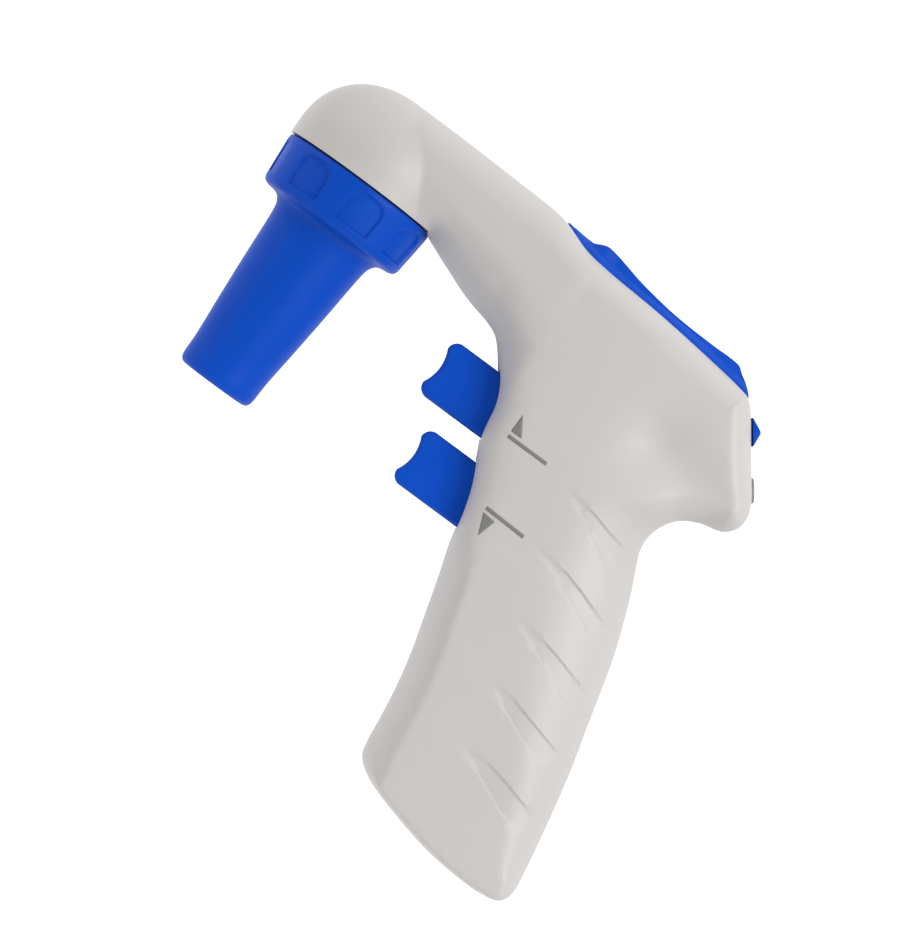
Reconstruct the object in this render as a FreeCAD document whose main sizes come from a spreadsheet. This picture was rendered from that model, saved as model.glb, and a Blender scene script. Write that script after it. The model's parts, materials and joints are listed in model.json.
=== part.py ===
"""Motorized pipette controller: a pistol-grip housing, an unscrewing nose cone, two triggers,
a mode slider, and the pump, valves, battery and electronics inside it.

Row frame, in millimetres: the origin is the centre of the pipette opening, +Z runs up the
nose's axis, +X points from the nose to the handle, and +Y is across the grip.
"""
import FreeCAD
import Part
import Sketcher
import math
import os

V = FreeCAD.Vector
doc = FreeCAD.newDocument("pipette_controller")

DIMS = {
    "wall": 2.2,
    "dome_radius": 19.5,
    "dome_floor": 55.0,
    "thread_radius": 15.45,
    "turning_gap": 0.05,
    "socket_radius": 4.0,
    "socket_depth": 30.0,
    "adapter_radius": 8.2,
    "spigot_radius": 2.35,
    "filter_radius": 13.0,
    "trigger_height": 14.1,
    "trigger_half": 6.7,
    "trigger_gap": 0.35,
    "aspirate_level": 32.25,
    "dispense_level": 13.2,
    "stem_radius": 2.45,
    "bore_radius": 2.5,
    "stem_length": 16.0,
    "block_half": 7.0,
    "barb_radius": 1.3,
    "hose_radius": 1.8,
    "motor_radius": 10.0,
    "motor_length": 22.0,
    "motor_level": 56.0,
    "shaft_radius": 1.0,
    "crank_offset": 1.2,
    "cell_radius": 7.25,
    "cell_length": 49.3,
    "cell_tilt": -13.5,
    "board_thickness": 1.6,
    "board_face": 9.2,
    "screw_radius": 1.25,
    "screw_length": 17.0,
    "screw_head": 2.5,
    "boss_radius": 3.4,
    "rear_angle": 53.05,
    "jack_bore": 1.75,
    "jack_rim": 2.9,
    "slider_half": 4.0,
}
D = dict(DIMS)

sheet = doc.addObject("Spreadsheet::Sheet", "Dims")
for row, (alias, value) in enumerate(DIMS.items(), 1):
    sheet.set(f"A{row}", alias)
    sheet.set(f"B{row}", str(value))
    sheet.setAlias(f"B{row}", alias)
doc.recompute()

UP = V(0, 0, 1)
BACK = V(1, 0, 0)
ACROSS = V(0, 1, 0)
SIDE_VIEW = FreeCAD.Rotation(V(1, 0, 0), 90)      # sketch x is +X, sketch y is +Z
LOOK_ALONG_X = FreeCAD.Rotation(V(1, 1, 1), 120)  # sketch x is +Y, sketch y is +Z
LOOK_ALONG_Z = FreeCAD.Rotation(V(1, 1, 0), 180)  # sketch x is +Y, sketch y is +X
REAR = FreeCAD.Rotation(ACROSS, D["rear_angle"])  # z is out of the slanted rear face


# ---------------------------------------------------------------- small helpers

def give(obj, prop, value):
    """Sets a property, or binds it when the value is an expression."""
    if isinstance(value, str):
        obj.setExpression(prop, value)
    else:
        setattr(obj, prop, value)


def place(obj, at, rotation=None):
    """Puts an object at a point; a coordinate may be an expression."""
    base = [0.0 if isinstance(c, str) else c for c in at]
    obj.Placement = FreeCAD.Placement(V(*base), rotation or FreeCAD.Rotation())
    for axis, c in zip("xyz", at):
        if isinstance(c, str):
            obj.setExpression(f"Placement.Base.{axis}", c)
    return obj


def toward(axis):
    return FreeCAD.Rotation(UP, axis)


def box(name, low, high, rotation=None, origin=None):
    """A box between two corners, in the row frame or in a turned frame at an origin."""
    obj = doc.addObject("Part::Box", name)
    obj.Length, obj.Width, obj.Height = (b - a for a, b in zip(low, high))
    turn = rotation or FreeCAD.Rotation()
    start = turn.multVec(V(*low))
    if origin:
        start = start + V(*origin)
    obj.Placement = FreeCAD.Placement(start, turn)
    return obj


def rod(name, radius, length, at, axis=UP):
    obj = doc.addObject("Part::Cylinder", name)
    give(obj, "Radius", radius)
    give(obj, "Height", length)
    return place(obj, at, toward(axis))


def ring(name, major, minor, at, axis=UP):
    obj = doc.addObject("Part::Torus", name)
    give(obj, "Radius1", major)
    give(obj, "Radius2", minor)
    return place(obj, at, toward(axis))


def fuse(name, *shapes):
    obj = doc.addObject("Part::MultiFuse", name)
    obj.Shapes = list(shapes)
    return obj


def together(name, *shapes):
    """Separate solids that make up one piece of the assembly."""
    obj = doc.addObject("Part::Compound", name)
    obj.Links = list(shapes)
    return obj


def cut(name, base, *tools):
    obj = doc.addObject("Part::Cut", name)
    obj.Base = base
    obj.Tool = tools[0] if len(tools) == 1 else fuse(name + "_tools", *tools)
    return obj


def common(name, base, tool):
    obj = doc.addObject("Part::Common", name)
    obj.Base = base
    obj.Tool = tool
    return obj


def rounded(name, base, radius, picks):
    """Fillets the edges whose middle satisfies picks."""
    doc.recompute()
    edges = []
    for number, edge in enumerate(base.Shape.Edges, 1):
        middle = edge.valueAt((edge.FirstParameter + edge.LastParameter) / 2)
        if picks(middle):
            edges.append((number, radius, radius))
    obj = doc.addObject("Part::Fillet", name)
    obj.Base = base
    obj.Edges = edges
    return obj


def outline(name, start, steps, rotation=SIDE_VIEW, at=(0, 0, 0)):
    """A closed sketch: a step (x, y) is a line, (mx, my, x, y) an arc through its middle."""
    sketch = doc.addObject("Sketcher::SketchObject", name)
    sketch.Placement = FreeCAD.Placement(V(*at), rotation)
    here = V(start[0], start[1], 0)
    for step in steps:
        there = V(step[-2], step[-1], 0)
        if len(step) == 4:
            sketch.addGeometry(Part.Arc(here, V(step[0], step[1], 0), there), False)
        else:
            sketch.addGeometry(Part.LineSegment(here, there), False)
        here = there
    return sketch


def hold_x(sketch, geo, end, alias, factor=1):
    """Ties a sketch point's x to a driving dimension."""
    index = sketch.addConstraint(
        Sketcher.Constraint("DistanceX", -1, 1, geo, end, factor * D[alias]))
    sketch.setExpression(f"Constraints[{index}]", f"Dims.{alias} * {factor}")


def turned(name, sketch, axis=UP, base=(0, 0, 0)):
    obj = doc.addObject("Part::Revolution", name)
    obj.Source = sketch
    obj.Axis = axis
    obj.Base = V(*base)
    obj.Angle = 360
    obj.Solid = True
    return obj


def extruded(name, sketch, direction, length):
    obj = doc.addObject("Part::Extrusion", name)
    obj.Base = sketch
    obj.DirMode = "Custom"
    obj.Dir = direction
    obj.Solid = True
    obj.Symmetric = True
    give(obj, "LengthFwd", length)
    return obj


def section(name, place_at, rotation, low, high, half, corner):
    """A rounded rectangle from low to high, half wide each way; sizes are (value, expression)."""
    a, b, w, r = low[0], high[0], half[0], corner[0]
    sketch = doc.addObject("Sketcher::SketchObject", name)
    sketch.Placement = FreeCAD.Placement(place_at, rotation)
    quarter = math.pi / 2

    def corner_arc(x, y, turn):
        circle = Part.Circle(V(x, y, 0), UP, r)
        return Part.ArcOfCircle(circle, (turn - 1) * quarter, turn * quarter)

    def line(x1, y1, x2, y2):
        return Part.LineSegment(V(x1, y1, 0), V(x2, y2, 0))

    sketch.addGeometry([
        line(r - w, a, w - r, a), corner_arc(w - r, a + r, 0),
        line(w, a + r, w, b - r), corner_arc(w - r, b - r, 1),
        line(w - r, b, r - w, b), corner_arc(r - w, b - r, 2),
        line(-w, b - r, -w, a + r), corner_arc(r - w, a + r, 3),
    ], False)
    rules = [Sketcher.Constraint("Tangent", g, 2, (g + 1) % 8, 1) for g in range(8)]
    rules += [Sketcher.Constraint("Horizontal", 0), Sketcher.Constraint("Horizontal", 4)]
    rules += [Sketcher.Constraint("Vertical", 2), Sketcher.Constraint("Vertical", 6)]
    rules += [Sketcher.Constraint("Equal", g, g + 2) for g in (1, 3, 5)]
    sketch.addConstraint(rules)
    sized = [
        ("DistanceY", (-1, 1, 0, 1), low), ("DistanceY", (-1, 1, 4, 1), high),
        ("DistanceX", (-1, 1, 2, 1), half), ("DistanceX", (6, 1, -1, 1), half),
        ("Radius", (1,), corner),
    ]
    for kind, where, (value, expression) in sized:
        index = sketch.addConstraint(Sketcher.Constraint(kind, *where, value))
        if expression:
            sketch.setExpression(f"Constraints[{index}]", expression)
    return sketch


def lofted(name, sections):
    obj = doc.addObject("Part::Loft", name)
    obj.Sections = sections
    obj.Solid = True
    obj.Ruled = True
    return obj


STEEPEST = 1.75  # a wall's slant counts no further than this when it is measured level


def slopes(stations, column):
    """How steeply a column of a station table changes, at each station."""
    found = []
    for i in range(len(stations)):
        before = stations[max(i - 1, 0)]
        after = stations[min(i + 1, len(stations) - 1)]
        found.append((after[column] - before[column]) / (after[0] - before[0]))
    return found


def skin(name, stations, rotation, along, inside):
    """Lofts a station table (position, low, high, half, corner); inside moves it in by the wall."""
    low_slope, high_slope = slopes(stations, 1), slopes(stations, 2)
    made = []
    for i, (position, low, high, half, corner) in enumerate(stations):
        if inside:
            k1 = min(round(math.hypot(1, low_slope[i]), 3), STEEPEST)
            k2 = min(round(math.hypot(1, high_slope[i]), 3), STEEPEST)
            w = D["wall"]
            sizes = [
                (low + k1 * w, f"{low} + {k1} * Dims.wall"),
                (high - k2 * w, f"{high} - {k2} * Dims.wall"),
                (half - w, f"{half} - Dims.wall"),
                (corner - w, f"{corner} - Dims.wall"),
            ]
        else:
            sizes = [(v, None) for v in (low, high, half, corner)]
        made.append(section(f"{name}_{i}", along * position, rotation, *sizes))
    return lofted(name, made)


def spring(name, start, length, radius, wire, turns, axis=BACK):
    """A helical compression spring from a start point."""
    frame = FreeCAD.Placement(V(*start), toward(axis))
    path = doc.addObject("Part::Helix", name + "_path")
    path.Pitch = (length - wire) / turns
    path.Height = length - wire
    path.Radius = radius
    path.Placement = frame.multiply(FreeCAD.Placement(V(0, 0, wire / 2), FreeCAD.Rotation()))
    wire_shape = doc.addObject("Part::Circle", name + "_wire")
    wire_shape.Radius = wire / 2
    wire_shape.Placement = path.Placement.multiply(FreeCAD.Placement(V(radius, 0, 0), SIDE_VIEW))
    obj = doc.addObject("Part::Sweep", name)
    obj.Sections = [wire_shape]
    obj.Spine = (path, ["Edge1"])
    obj.Solid = True
    obj.Frenet = True
    return obj


def sweep(name, start, direction, edges, radius):
    path = doc.addObject("Part::Feature", name + "_path")
    path.Shape = Part.Wire(edges)
    end = doc.addObject("Part::Circle", name + "_end")
    give(end, "Radius", radius)
    end.Placement = FreeCAD.Placement(start, toward(direction))
    obj = doc.addObject("Part::Sweep", name)
    obj.Sections = [end]
    obj.Spine = (path, [f"Edge{i + 1}" for i in range(len(edges))])
    obj.Solid = True
    return obj


def bent(points, radii):
    """Straight edges through points, with an arc of the given radius at each inner point."""
    at = [V(*p) for p in points]
    edges, here = [], at[0]
    for before, corner, after, radius in zip(at, at[1:], at[2:], radii):
        back = (before - corner).normalize()
        on = (after - corner).normalize()
        half = back.getAngle(on) / 2
        reach = radius / math.tan(half)
        centre = corner + (back + on).normalize() * (radius / math.sin(half))
        first, last = corner + back * reach, corner + on * reach
        middle = centre + (corner - centre).normalize() * radius
        edges += [Part.makeLine(here, first), Part.Arc(first, middle, last).toShape()]
        here = last
    return edges + [Part.makeLine(here, at[-1])]


def lead(name, points, radius):
    """A wire through points, with arcs as large as its runs allow."""
    at = [V(*p) for p in points]
    radii = []
    for before, corner, after in zip(at, at[1:], at[2:]):
        back, on = before - corner, after - corner
        radii.append(0.45 * min(back.Length, on.Length) * math.tan(back.getAngle(on) / 2))
    return sweep(name, at[0], at[1] - at[0], bent(points, radii), radius)


def hose(name, points, radii):
    """A hose whose ends run straight over the barbs."""
    first = V(*points[1]) - V(*points[0])
    made = [sweep(f"{name}_{side}", V(*points[0]), first, bent(points, radii), radius)
            for side, radius in (("outside", "Dims.hose_radius"), ("bore", "Dims.barb_radius + 0.1"))]
    return cut(name, *made)


PARTS = {}


def part(name, obj):
    PARTS[name] = obj
    obj.Label = name
    return obj


# ---------------------------------------------------------------- housing

# (x, underside, top, half width, corner radius) of the arm, body and rear horn
BODY = [
    (3.0, 55.0, 76.3, 15.0, 6.0),
    (21.0, 53.1, 76.1, 15.2, 8.0),
    (33.0, 48.7, 75.8, 15.4, 8.5),
    (41.0, 46.3, 75.4, 15.6, 8.5),
    (46.0, 43.2, 73.7, 15.8, 8.5),
    (56.0, 36.0, 71.9, 16.2, 8.5),
    (71.0, 32.0, 71.0, 16.6, 8.5),
    (86.0, 31.5, 69.4, 16.3, 8.5),
    (97.6, 33.5, 67.6, 15.2, 8.0),
    (101.0, 36.5, 63.8, 14.6, 7.5),
    (105.5, 38.9, 57.9, 13.6, 7.0),
    (109.0, 39.8, 53.3, 12.7, 5.5),
    (111.6, 41.0, 50.0, 11.7, 4.0),
    (113.0, 43.6, 47.4, 10.4, 1.8),
]
# (z, front, back, half width, corner radius) of the body and handle
HANDLE = [
    (48.0, 52.0, 96.0, 15.9, 9.0),
    (40.0, 49.2, 97.4, 16.2, 9.0),
    (36.2, 52.0, 98.2, 16.3, 9.0),
    (32.2, 53.7, 97.9, 16.4, 9.0),
    (26.0, 54.9, 98.6, 16.4, 9.5),
    (20.7, 57.5, 101.1, 16.4, 10.0),
    (10.7, 61.4, 105.2, 16.3, 10.0),
    (0.0, 63.9, 108.7, 16.0, 10.0),
    (-12.0, 67.9, 112.3, 15.7, 10.0),
    (-24.0, 71.4, 115.5, 15.5, 10.0),
    (-36.0, 73.6, 118.2, 15.4, 10.0),
    (-58.0, 76.5, 121.6, 15.4, 10.0),
]
# the same columns for the hollow of the handle, which stops above the slanted bottom
HOLLOW = HANDLE[:-1] + [
    (-44.5, 74.9, 119.6, 15.4, 9.5),
    (-48.6, 81.5, 119.9, 15.2, 8.5),
    (-51.6, 90.0, 119.0, 14.6, 7.5),
    (-53.3, 99.5, 116.5, 13.2, 5.5),
]


def dome(name, inset):
    """The head's round dome over the nose."""
    r = D["dome_radius"] - inset
    floor = D["dome_floor"] + inset
    top = 76.4 - inset
    steps = [
        (r, floor), (r, 59.5),
        (r * 0.868, 69.0 - inset * 0.4, r * 0.5, 75.0 - inset),
        (r * 0.25, 76.0 - inset, 0, top),
        (0, floor),
    ]
    sketch = outline(name + "_profile", (0, floor), steps)
    return turned(name, sketch)


def bottom_cut():
    """Everything below the handle's slanted, rounded foot."""
    steps = [
        (74.5, -44.6), (75.4, -48.6, 78.5, -49.9), (89.5, -53.9, 101.0, -55.8),
        (114.0, -56.4), (119.6, -55.6, 120.9, -51.0), (121.6, -47.0), (140.0, -47.0),
        (140.0, -80.0), (60.0, -80.0), (60.0, -44.6),
    ]
    sketch = outline("foot_outline", (60.0, -44.6), steps)
    return extruded("foot_space", sketch, ACROSS, 60.0)


BOSSES = [(24.0, 58.5), (40.0, 69.0), (93.0, 31.0), (68.8, -2.4), (79.4, -45.0), (115.4, -48.6)]
STANDOFFS = [(68.0, 41.0), (86.0, 41.0), (85.5, 12.0)]
SLIDER_AT = (102.6, 0, 61.7)
JACK_AT = (110.3, 0, 51.6)
MOTOR_AT = (64.0, 0, "Dims.motor_level")

# the blue cover lies in a shallow seat on top: (x, underside, top, half width, corner)
COVER = [
    (43.0, 73.6, 74.7, 6.5, 0.45),
    (49.5, 71.7, 74.5, 10.5, 0.9),
    (52.8, 71.1, 76.1, 11.4, 1.6),
    (63.0, 70.3, 73.9, 12.0, 1.3),
    (71.0, 69.8, 72.9, 12.0, 1.1),
    (81.0, 68.8, 72.4, 12.0, 1.2),
    (91.0, 67.6, 72.3, 11.8, 1.4),
    (94.2, 67.0, 71.2, 11.2, 1.2),
    (97.4, 66.5, 68.4, 9.8, 0.7),
]


def make_cover():
    made = []
    for i, (x, low, high, half, corner) in enumerate(COVER):
        sizes = [(v, None) for v in (low, high, half, corner)]
        made.append(section(f"cover_{i}", V(x, 0, 0), LOOK_ALONG_X, *sizes))
    return lofted("cover_solid", made)


def make_shell(cover):
    """The hollow housing before it is split, with its bosses, ribs and openings."""
    outside = fuse("housing_outside", dome("head_outside", 0.0),
                   skin("body_outside", BODY, LOOK_ALONG_X, BACK, False),
                   skin("handle_outside", HANDLE, LOOK_ALONG_Z, UP, False))
    footed = cut("housing_footed", outside, bottom_cut())
    inside = fuse("housing_inside", dome("head_inside", D["wall"]),
                  skin("body_inside", BODY[:-2], LOOK_ALONG_X, BACK, True),
                  skin("handle_inside", HOLLOW, LOOK_ALONG_Z, UP, True))
    solid = []
    for i, (x, z) in enumerate(BOSSES):
        solid.append(rod(f"boss_{i}", "Dims.boss_radius", 40.0, (x, -20.0, z), ACROSS))
    rib = box("motor_rib", (79.0, -18.0, 44.4), (82.0, 18.0, 70.0))
    grip = rod("motor_rib_hole", "Dims.motor_radius + 1.25", 10.0, (76, 0, "Dims.motor_level"), BACK)
    solid.append(cut("motor_cradle", rib, grip))
    hollow = cut("housing_hollow", inside, fuse("housing_bosses", *solid))
    half = D["trigger_half"] + D["trigger_gap"]
    tall = D["trigger_height"] / 2 + D["trigger_gap"]
    up, down = D["aspirate_level"], D["dispense_level"]
    slot_low, slot_high = (-3.9, -1.9, -4.0), (3.9, 1.9, 4.0)
    return cut(
        "housing_whole", footed, hollow, cover,
        rod("neck_hole", "Dims.thread_radius + 0.05", 6.0, (0, 0, "Dims.dome_floor - 1")),
        rod("collar_room", 19.45, 6.0, (0, 0, "Dims.dome_floor - 6")),
        box("aspirate_window", (44.0, -half, up - tall), (58.5, half, up + tall)),
        box("dispense_window", (53.0, -half, down - tall), (66.0, half, down + tall)),
        box("slider_slot", slot_low, slot_high, REAR, SLIDER_AT),
        rod("jack_hole", "Dims.jack_rim + 0.1", 8.0,
            tuple(V(*JACK_AT) - REAR.multVec(V(0, 0, 5))), REAR.multVec(UP)),
    )


def make_halves(shell):
    half = common("half_shell", shell, box("right_side", (-30, 0, -70), (130, 30, 90)))
    left = doc.addObject("Part::Mirroring", "left_half")
    left.Source = half
    left.Normal = ACROSS
    low = "Dims.board_face + Dims.board_thickness"
    posts = [rod(f"standoff_{i}", 2.2, 4.2, (x, low, z), ACROSS)
             for i, (x, z) in enumerate(STANDOFFS)]
    right = fuse("right_half", half, *posts)
    pilots, clears = [], []
    for i, (x, z) in enumerate(BOSSES):
        pilots.append(rod(f"pilot_{i}", "Dims.screw_radius + 0.02", 12.0, (x, -10.0, z), ACROSS))
        clears.append(rod(f"screw_way_{i}", "Dims.screw_radius + 0.1", 12.0, (x, -1.0, z), ACROSS))
        clears.append(rod(f"head_way_{i}", "Dims.screw_head + 0.2", 20.0, (x, 6.0, z), ACROSS))
    for i, (x, z) in enumerate(STANDOFFS):
        low = "Dims.board_face + Dims.board_thickness - 0.5"
        clears.append(rod(f"board_pilot_{i}", 0.82, 3.2, (x, low, z), ACROSS))
    part("housing_left", cut("housing_left_cut", left, *pilots))
    part("housing_right", cut("housing_right_cut", right, *clears))


def make_housing_screws():
    """Six equal screws driven from the right side."""
    screws = []
    for i, (x, z) in enumerate(BOSSES):
        shank = rod(f"shank_{i}", "Dims.screw_radius", "Dims.screw_length - 1.8", (x, -9.2, z), ACROSS)
        head = rod(f"head_{i}", "Dims.screw_head", 1.8, (x, 6.0, z), ACROSS)
        drive = rod(f"drive_{i}", 0.9, 1.4, (x, 7.0, z), ACROSS)
        screws.append(cut(f"housing_screw_{i}", fuse(f"screw_{i}", shank, head), drive))
    part("housing_screws", together("housing_screws_all", *screws))


# ---------------------------------------------------------------- nose

def make_nose():
    gap = D["turning_gap"]
    neck_r = D["thread_radius"]
    bore = neck_r + gap
    sleeve = D["adapter_radius"] + gap
    cone = outline("nose_cone_profile", (6.2, -0.4), [
        (8.0, -0.4), (9.1, 0.2, 9.45, 1.6), (9.65, 6.0), (12.35, 38.6), (12.8, 41.3, 14.6, 42.5),
        (16.6, 42.9), (17.9, 43.6, 18.35, 45.0), (19.0, 53.6), (18.8, 54.4, 18.0, 54.6),
        (bore, 54.6), (bore, 47.0), (14.0, 47.0), (14.0, 44.6), (11.0, 44.6), (11.0, 38.0),
        (sleeve, 38.0), (sleeve, 0.8), (6.2, 0.8), (6.2, -0.4),
    ])
    solid = turned("nose_cone_solid", cone)
    pads = []
    for i in range(8):
        turn = FreeCAD.Rotation(UP, 45 * i + 16)
        pads.append(box(f"thumb_pad_{i}", (18.35, -4.2, 42.0), (24.0, 4.2, 51.6), turn))
    part("nose_cone", cut("nose_cone_cut", solid, *pads))

    r, s = D["socket_radius"], D["spigot_radius"]
    adapter = outline("adapter_profile", (r, 0), [
        (6.12, 0), (6.12, 0.9), (D["adapter_radius"], 0.9), (D["adapter_radius"], 38.05),
        (10.5, 38.05), (10.5, 40.5), (s + 0.02, 40.5), (s + 0.02, D["socket_depth"]),
        (r, D["socket_depth"]), (r, 0),
    ])
    hold_x(adapter, 0, 1, "socket_radius")
    part("pipette_adapter", turned("pipette_adapter_solid", adapter))

    disc = D["filter_radius"]
    filter_shape = outline("filter_profile", (0.9, 33.0), [
        (s, 33.0), (s, 45.2), (disc - 1.0, 45.2), (disc, 46.2), (disc, 49.4), (disc - 1.6, 50.2),
        (s - 0.05, 50.2), (s - 0.05, 55.4), (0.9, 55.4), (0.9, 33.0),
    ])
    part("membrane_filter", turned("membrane_filter_solid", filter_shape))

    b = D["barb_radius"]
    neck = outline("neck_profile", (s, 51.4), [
        (4.2, 51.4), (4.2, 55.6), (13.6, 55.6), (13.6, 47.2), (neck_r, 47.2), (neck_r, 52.9),
        (14.6, 52.9), (14.6, 54.1), (neck_r, 54.1), (neck_r, 57.2), (17.0, 57.2), (17.0, 59.2),
        (b, 59.2), (b, 65.0), (0.7, 65.0), (0.7, 57.0), (s, 57.0), (s, 51.4),
    ])
    part("threaded_neck", turned("threaded_neck_solid", neck))
    part("nose_seal", ring("nose_seal_ring", "Dims.thread_radius - 0.42", 0.42, (0, 0, 53.5)))


# ---------------------------------------------------------------- triggers and valves

def make_trigger(name, front, flange, level, spring_end):
    """A finger button with a scooped front, its retaining flange, its stem and its spring."""
    half_height = D["trigger_height"] / 2
    low, high = level - half_height, level + half_height
    shape = outline(name + "_outline", (flange, low), [
        (front + 2.6, low), (front + 0.7, low + 0.7, front, low + 2.6),
        (front + 1.1, level, front, high - 2.6),
        (front + 0.7, high - 0.7, front + 2.6, high), (flange, high), (flange, low),
    ])
    button = extruded(name + "_button", shape, ACROSS, "2 * Dims.trigger_half")
    side = D["trigger_half"]
    soft = rounded(name + "_soft", button, 1.0,
                   lambda m: abs(abs(m.y) - side) < 0.01 and m.x < flange - 0.5)
    lip = box(name + "_lip", (flange, -8.3, low - 0.9), (flange + 1.8, 8.3, high + 0.9))
    part(name + "_trigger", fuse(name + "_trigger_solid", soft, lip))

    start = flange + 1.8
    core = rod(name + "_core", "Dims.stem_radius", "Dims.stem_length", (start, 0, level), BACK)
    grooves, seals = [], []
    for i, x in enumerate((spring_end + 2.6, spring_end + 7.0)):
        outer = rod(f"{name}_groove_out_{i}", 4.0, 1.0, (x - 0.5, 0, level), BACK)
        inner = rod(f"{name}_groove_in_{i}", 1.75, 3.0, (x - 1.5, 0, level), BACK)
        grooves.append(cut(f"{name}_groove_{i}", outer, inner))
        seals.append(ring(f"{name}_ring_{i}", 2.11, 0.35, (x, 0, level), BACK))
    part(name + "_stem", cut(name + "_stem_solid", core, *grooves))
    part(name + "_stem_seals", together(name + "_seals_all", *seals))
    coil = spring(name + "_coil", (start + 0.05, 0, level), spring_end - start - 0.1, 3.3, 0.45, 3)
    part(name + "_spring", coil)


PORTS = {"nose": (75.0, 36.6), "suction": (70.5, 27.6), "pressure": (82.0, 12.2)}


def make_valve_block():
    half = D["block_half"]
    up, down = D["aspirate_level"], D["dispense_level"]
    body = fuse(
        "block_body",
        box("block_upper", (66.0, -half, 24.4), (84.0, half, 40.2)),
        box("block_lower", (73.0, -half, 9.4), (91.0, half, 24.4)),
        *[rod(f"barb_{n}", "Dims.barb_radius", 2.6, (x, -half, z), -ACROSS)
          for n, (x, z) in PORTS.items()],
    )
    ways = [rod(f"port_{n}", 0.7, half + 2.6, (x, -half - 2.6, z), ACROSS)
            for n, (x, z) in PORTS.items()]
    screws, holes = [], []
    for i, (x, z) in enumerate(((69.5, 37.8), (88.0, 21.5))):
        head = rod(f"block_head_{i}", 1.9, 1.2, (x, -half - 1.2, z), ACROSS)
        shank = rod(f"block_shank_{i}", 0.95, 3.0, (x, -half - 1.2, z), ACROSS)
        screws.append(fuse(f"block_screw_{i}", head, shank))
        holes.append(rod(f"block_hole_{i}", 0.97, 3.4, (x, -half - 1.2, z), ACROSS))
    part("valve_block_screws", together("block_screws_all", *screws))
    part("valve_block", cut(
        "valve_block_solid", body,
        rod("aspirate_bore", "Dims.bore_radius", 15.2, (66.0, 0, "Dims.aspirate_level"), BACK),
        rod("dispense_bore", "Dims.bore_radius", 15.2, (73.0, 0, "Dims.dispense_level"), BACK),
        rod("cross_way", 0.9, up - down, (79.0, 0, down), UP),
        *ways, *holes,
    ))


# ---------------------------------------------------------------- electronics

def make_board():
    face = D["board_face"]
    top = face + D["board_thickness"]
    shape = outline("board_outline", (65.6, 25.0), [
        (65.6, 44.0), (88.3, 44.0), (88.3, 36.0), (87.0, 36.0), (87.0, 9.6), (72.0, 9.6),
        (72.0, 25.0), (65.6, 25.0),
    ], at=(0, face + D["board_thickness"] / 2, 0))
    plate = extruded("board_plate", shape, ACROSS, "Dims.board_thickness")
    holes = [rod(f"board_hole_{i}", 0.95, 6.0, (x, face - 2.0, z), ACROSS)
             for i, (x, z) in enumerate(STANDOFFS)]
    part("main_board", cut("main_board_drilled", plate, *holes))
    part("board_parts", together(
        "board_parts_all",
        box("controller_chip", (75.5, top, 26.0), (82.5, top + 1.1, 33.0)),
        box("driver_chip", (74.0, top, 16.5), (79.0, top + 1.1, 20.5)),
        box("coil_choke", (81.0, top, 17.0), (85.0, top + 2.2, 21.0)),
        rod("capacitor", 2.2, 2.2, (71.0, top, 33.0), ACROSS),
        box("plug_socket", (75.0, top, 38.5), (82.0, top + 2.4, 42.5)),
    ))
    screws = []
    for i, (x, z) in enumerate(STANDOFFS):
        head = rod(f"board_head_{i}", 1.6, 1.2, (x, face - 1.2, z), ACROSS)
        shank = rod(f"board_shank_{i}", 0.8, 5.2, (x, face - 1.2, z), ACROSS)
        screws.append(fuse(f"board_screw_{i}", head, shank))
    part("board_screws", together("board_screws_all", *screws))
    for name, x, z in (("aspirate", 65.9, 31.0), ("dispense", 72.3, 14.6)):
        case = box(name + "_switch_case", (x, face - 1.8, z - 2.6), (x + 3.6, face, z + 2.6))
        key = box(name + "_switch_key", (x - 0.6, face - 1.5, z - 1.2), (x, face - 0.5, z + 1.2))
        part(name + "_switch", fuse(name + "_switch_solid", case, key))


def make_rear():
    """The slider on the rear face, its switch, and the charging jack."""
    side = D["slider_half"]
    knob_shape = outline("slider_knob_outline", (-2.8, 0.3), [
        (2.8, 0.3), (2.8, 0.7), (1.1, 2.3), (0.3, 2.3), (-2.8, 0.9), (-2.8, 0.3),
    ], rotation=REAR.multiply(SIDE_VIEW), at=SLIDER_AT)
    knob = extruded("slider_knob", knob_shape, ACROSS, "2 * Dims.slider_half")
    stem = box("slider_stem", (-1.3, -1.5, -5.7), (1.3, 1.5, 0.3), REAR, SLIDER_AT)
    part("mode_slider", fuse("mode_slider_solid", knob, stem))
    case = box("slide_switch_case", (-6.0, -side + 0.6, -9.0), (6.0, side - 0.6, -4.4), REAR, SLIDER_AT)
    channel = box("slide_switch_channel", (-3.8, -1.9, -6.2), (3.8, 1.9, -4.0), REAR, SLIDER_AT)
    part("slide_switch", cut("slide_switch_solid", case, channel))

    out = REAR.multVec(UP)
    start = V(*JACK_AT)

    def along(distance):
        return tuple(start + out * distance)

    case = box("jack_case", (-3.6, -4.0, -9.6), (1.9, 4.0, -3.4), REAR, JACK_AT)
    rim = rod("jack_rim", "Dims.jack_rim", 4.1, along(-3.4), out)
    bore = rod("jack_bore", "Dims.jack_bore", 9.6, along(-8.6), out)
    part("charge_jack", cut("charge_jack_solid", fuse("jack_body", case, rim), bore))
    part("charge_pin", rod("charge_pin_rod", 0.6, 7.6, along(-8.6), out))


# ---------------------------------------------------------------- pump and motor

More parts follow.
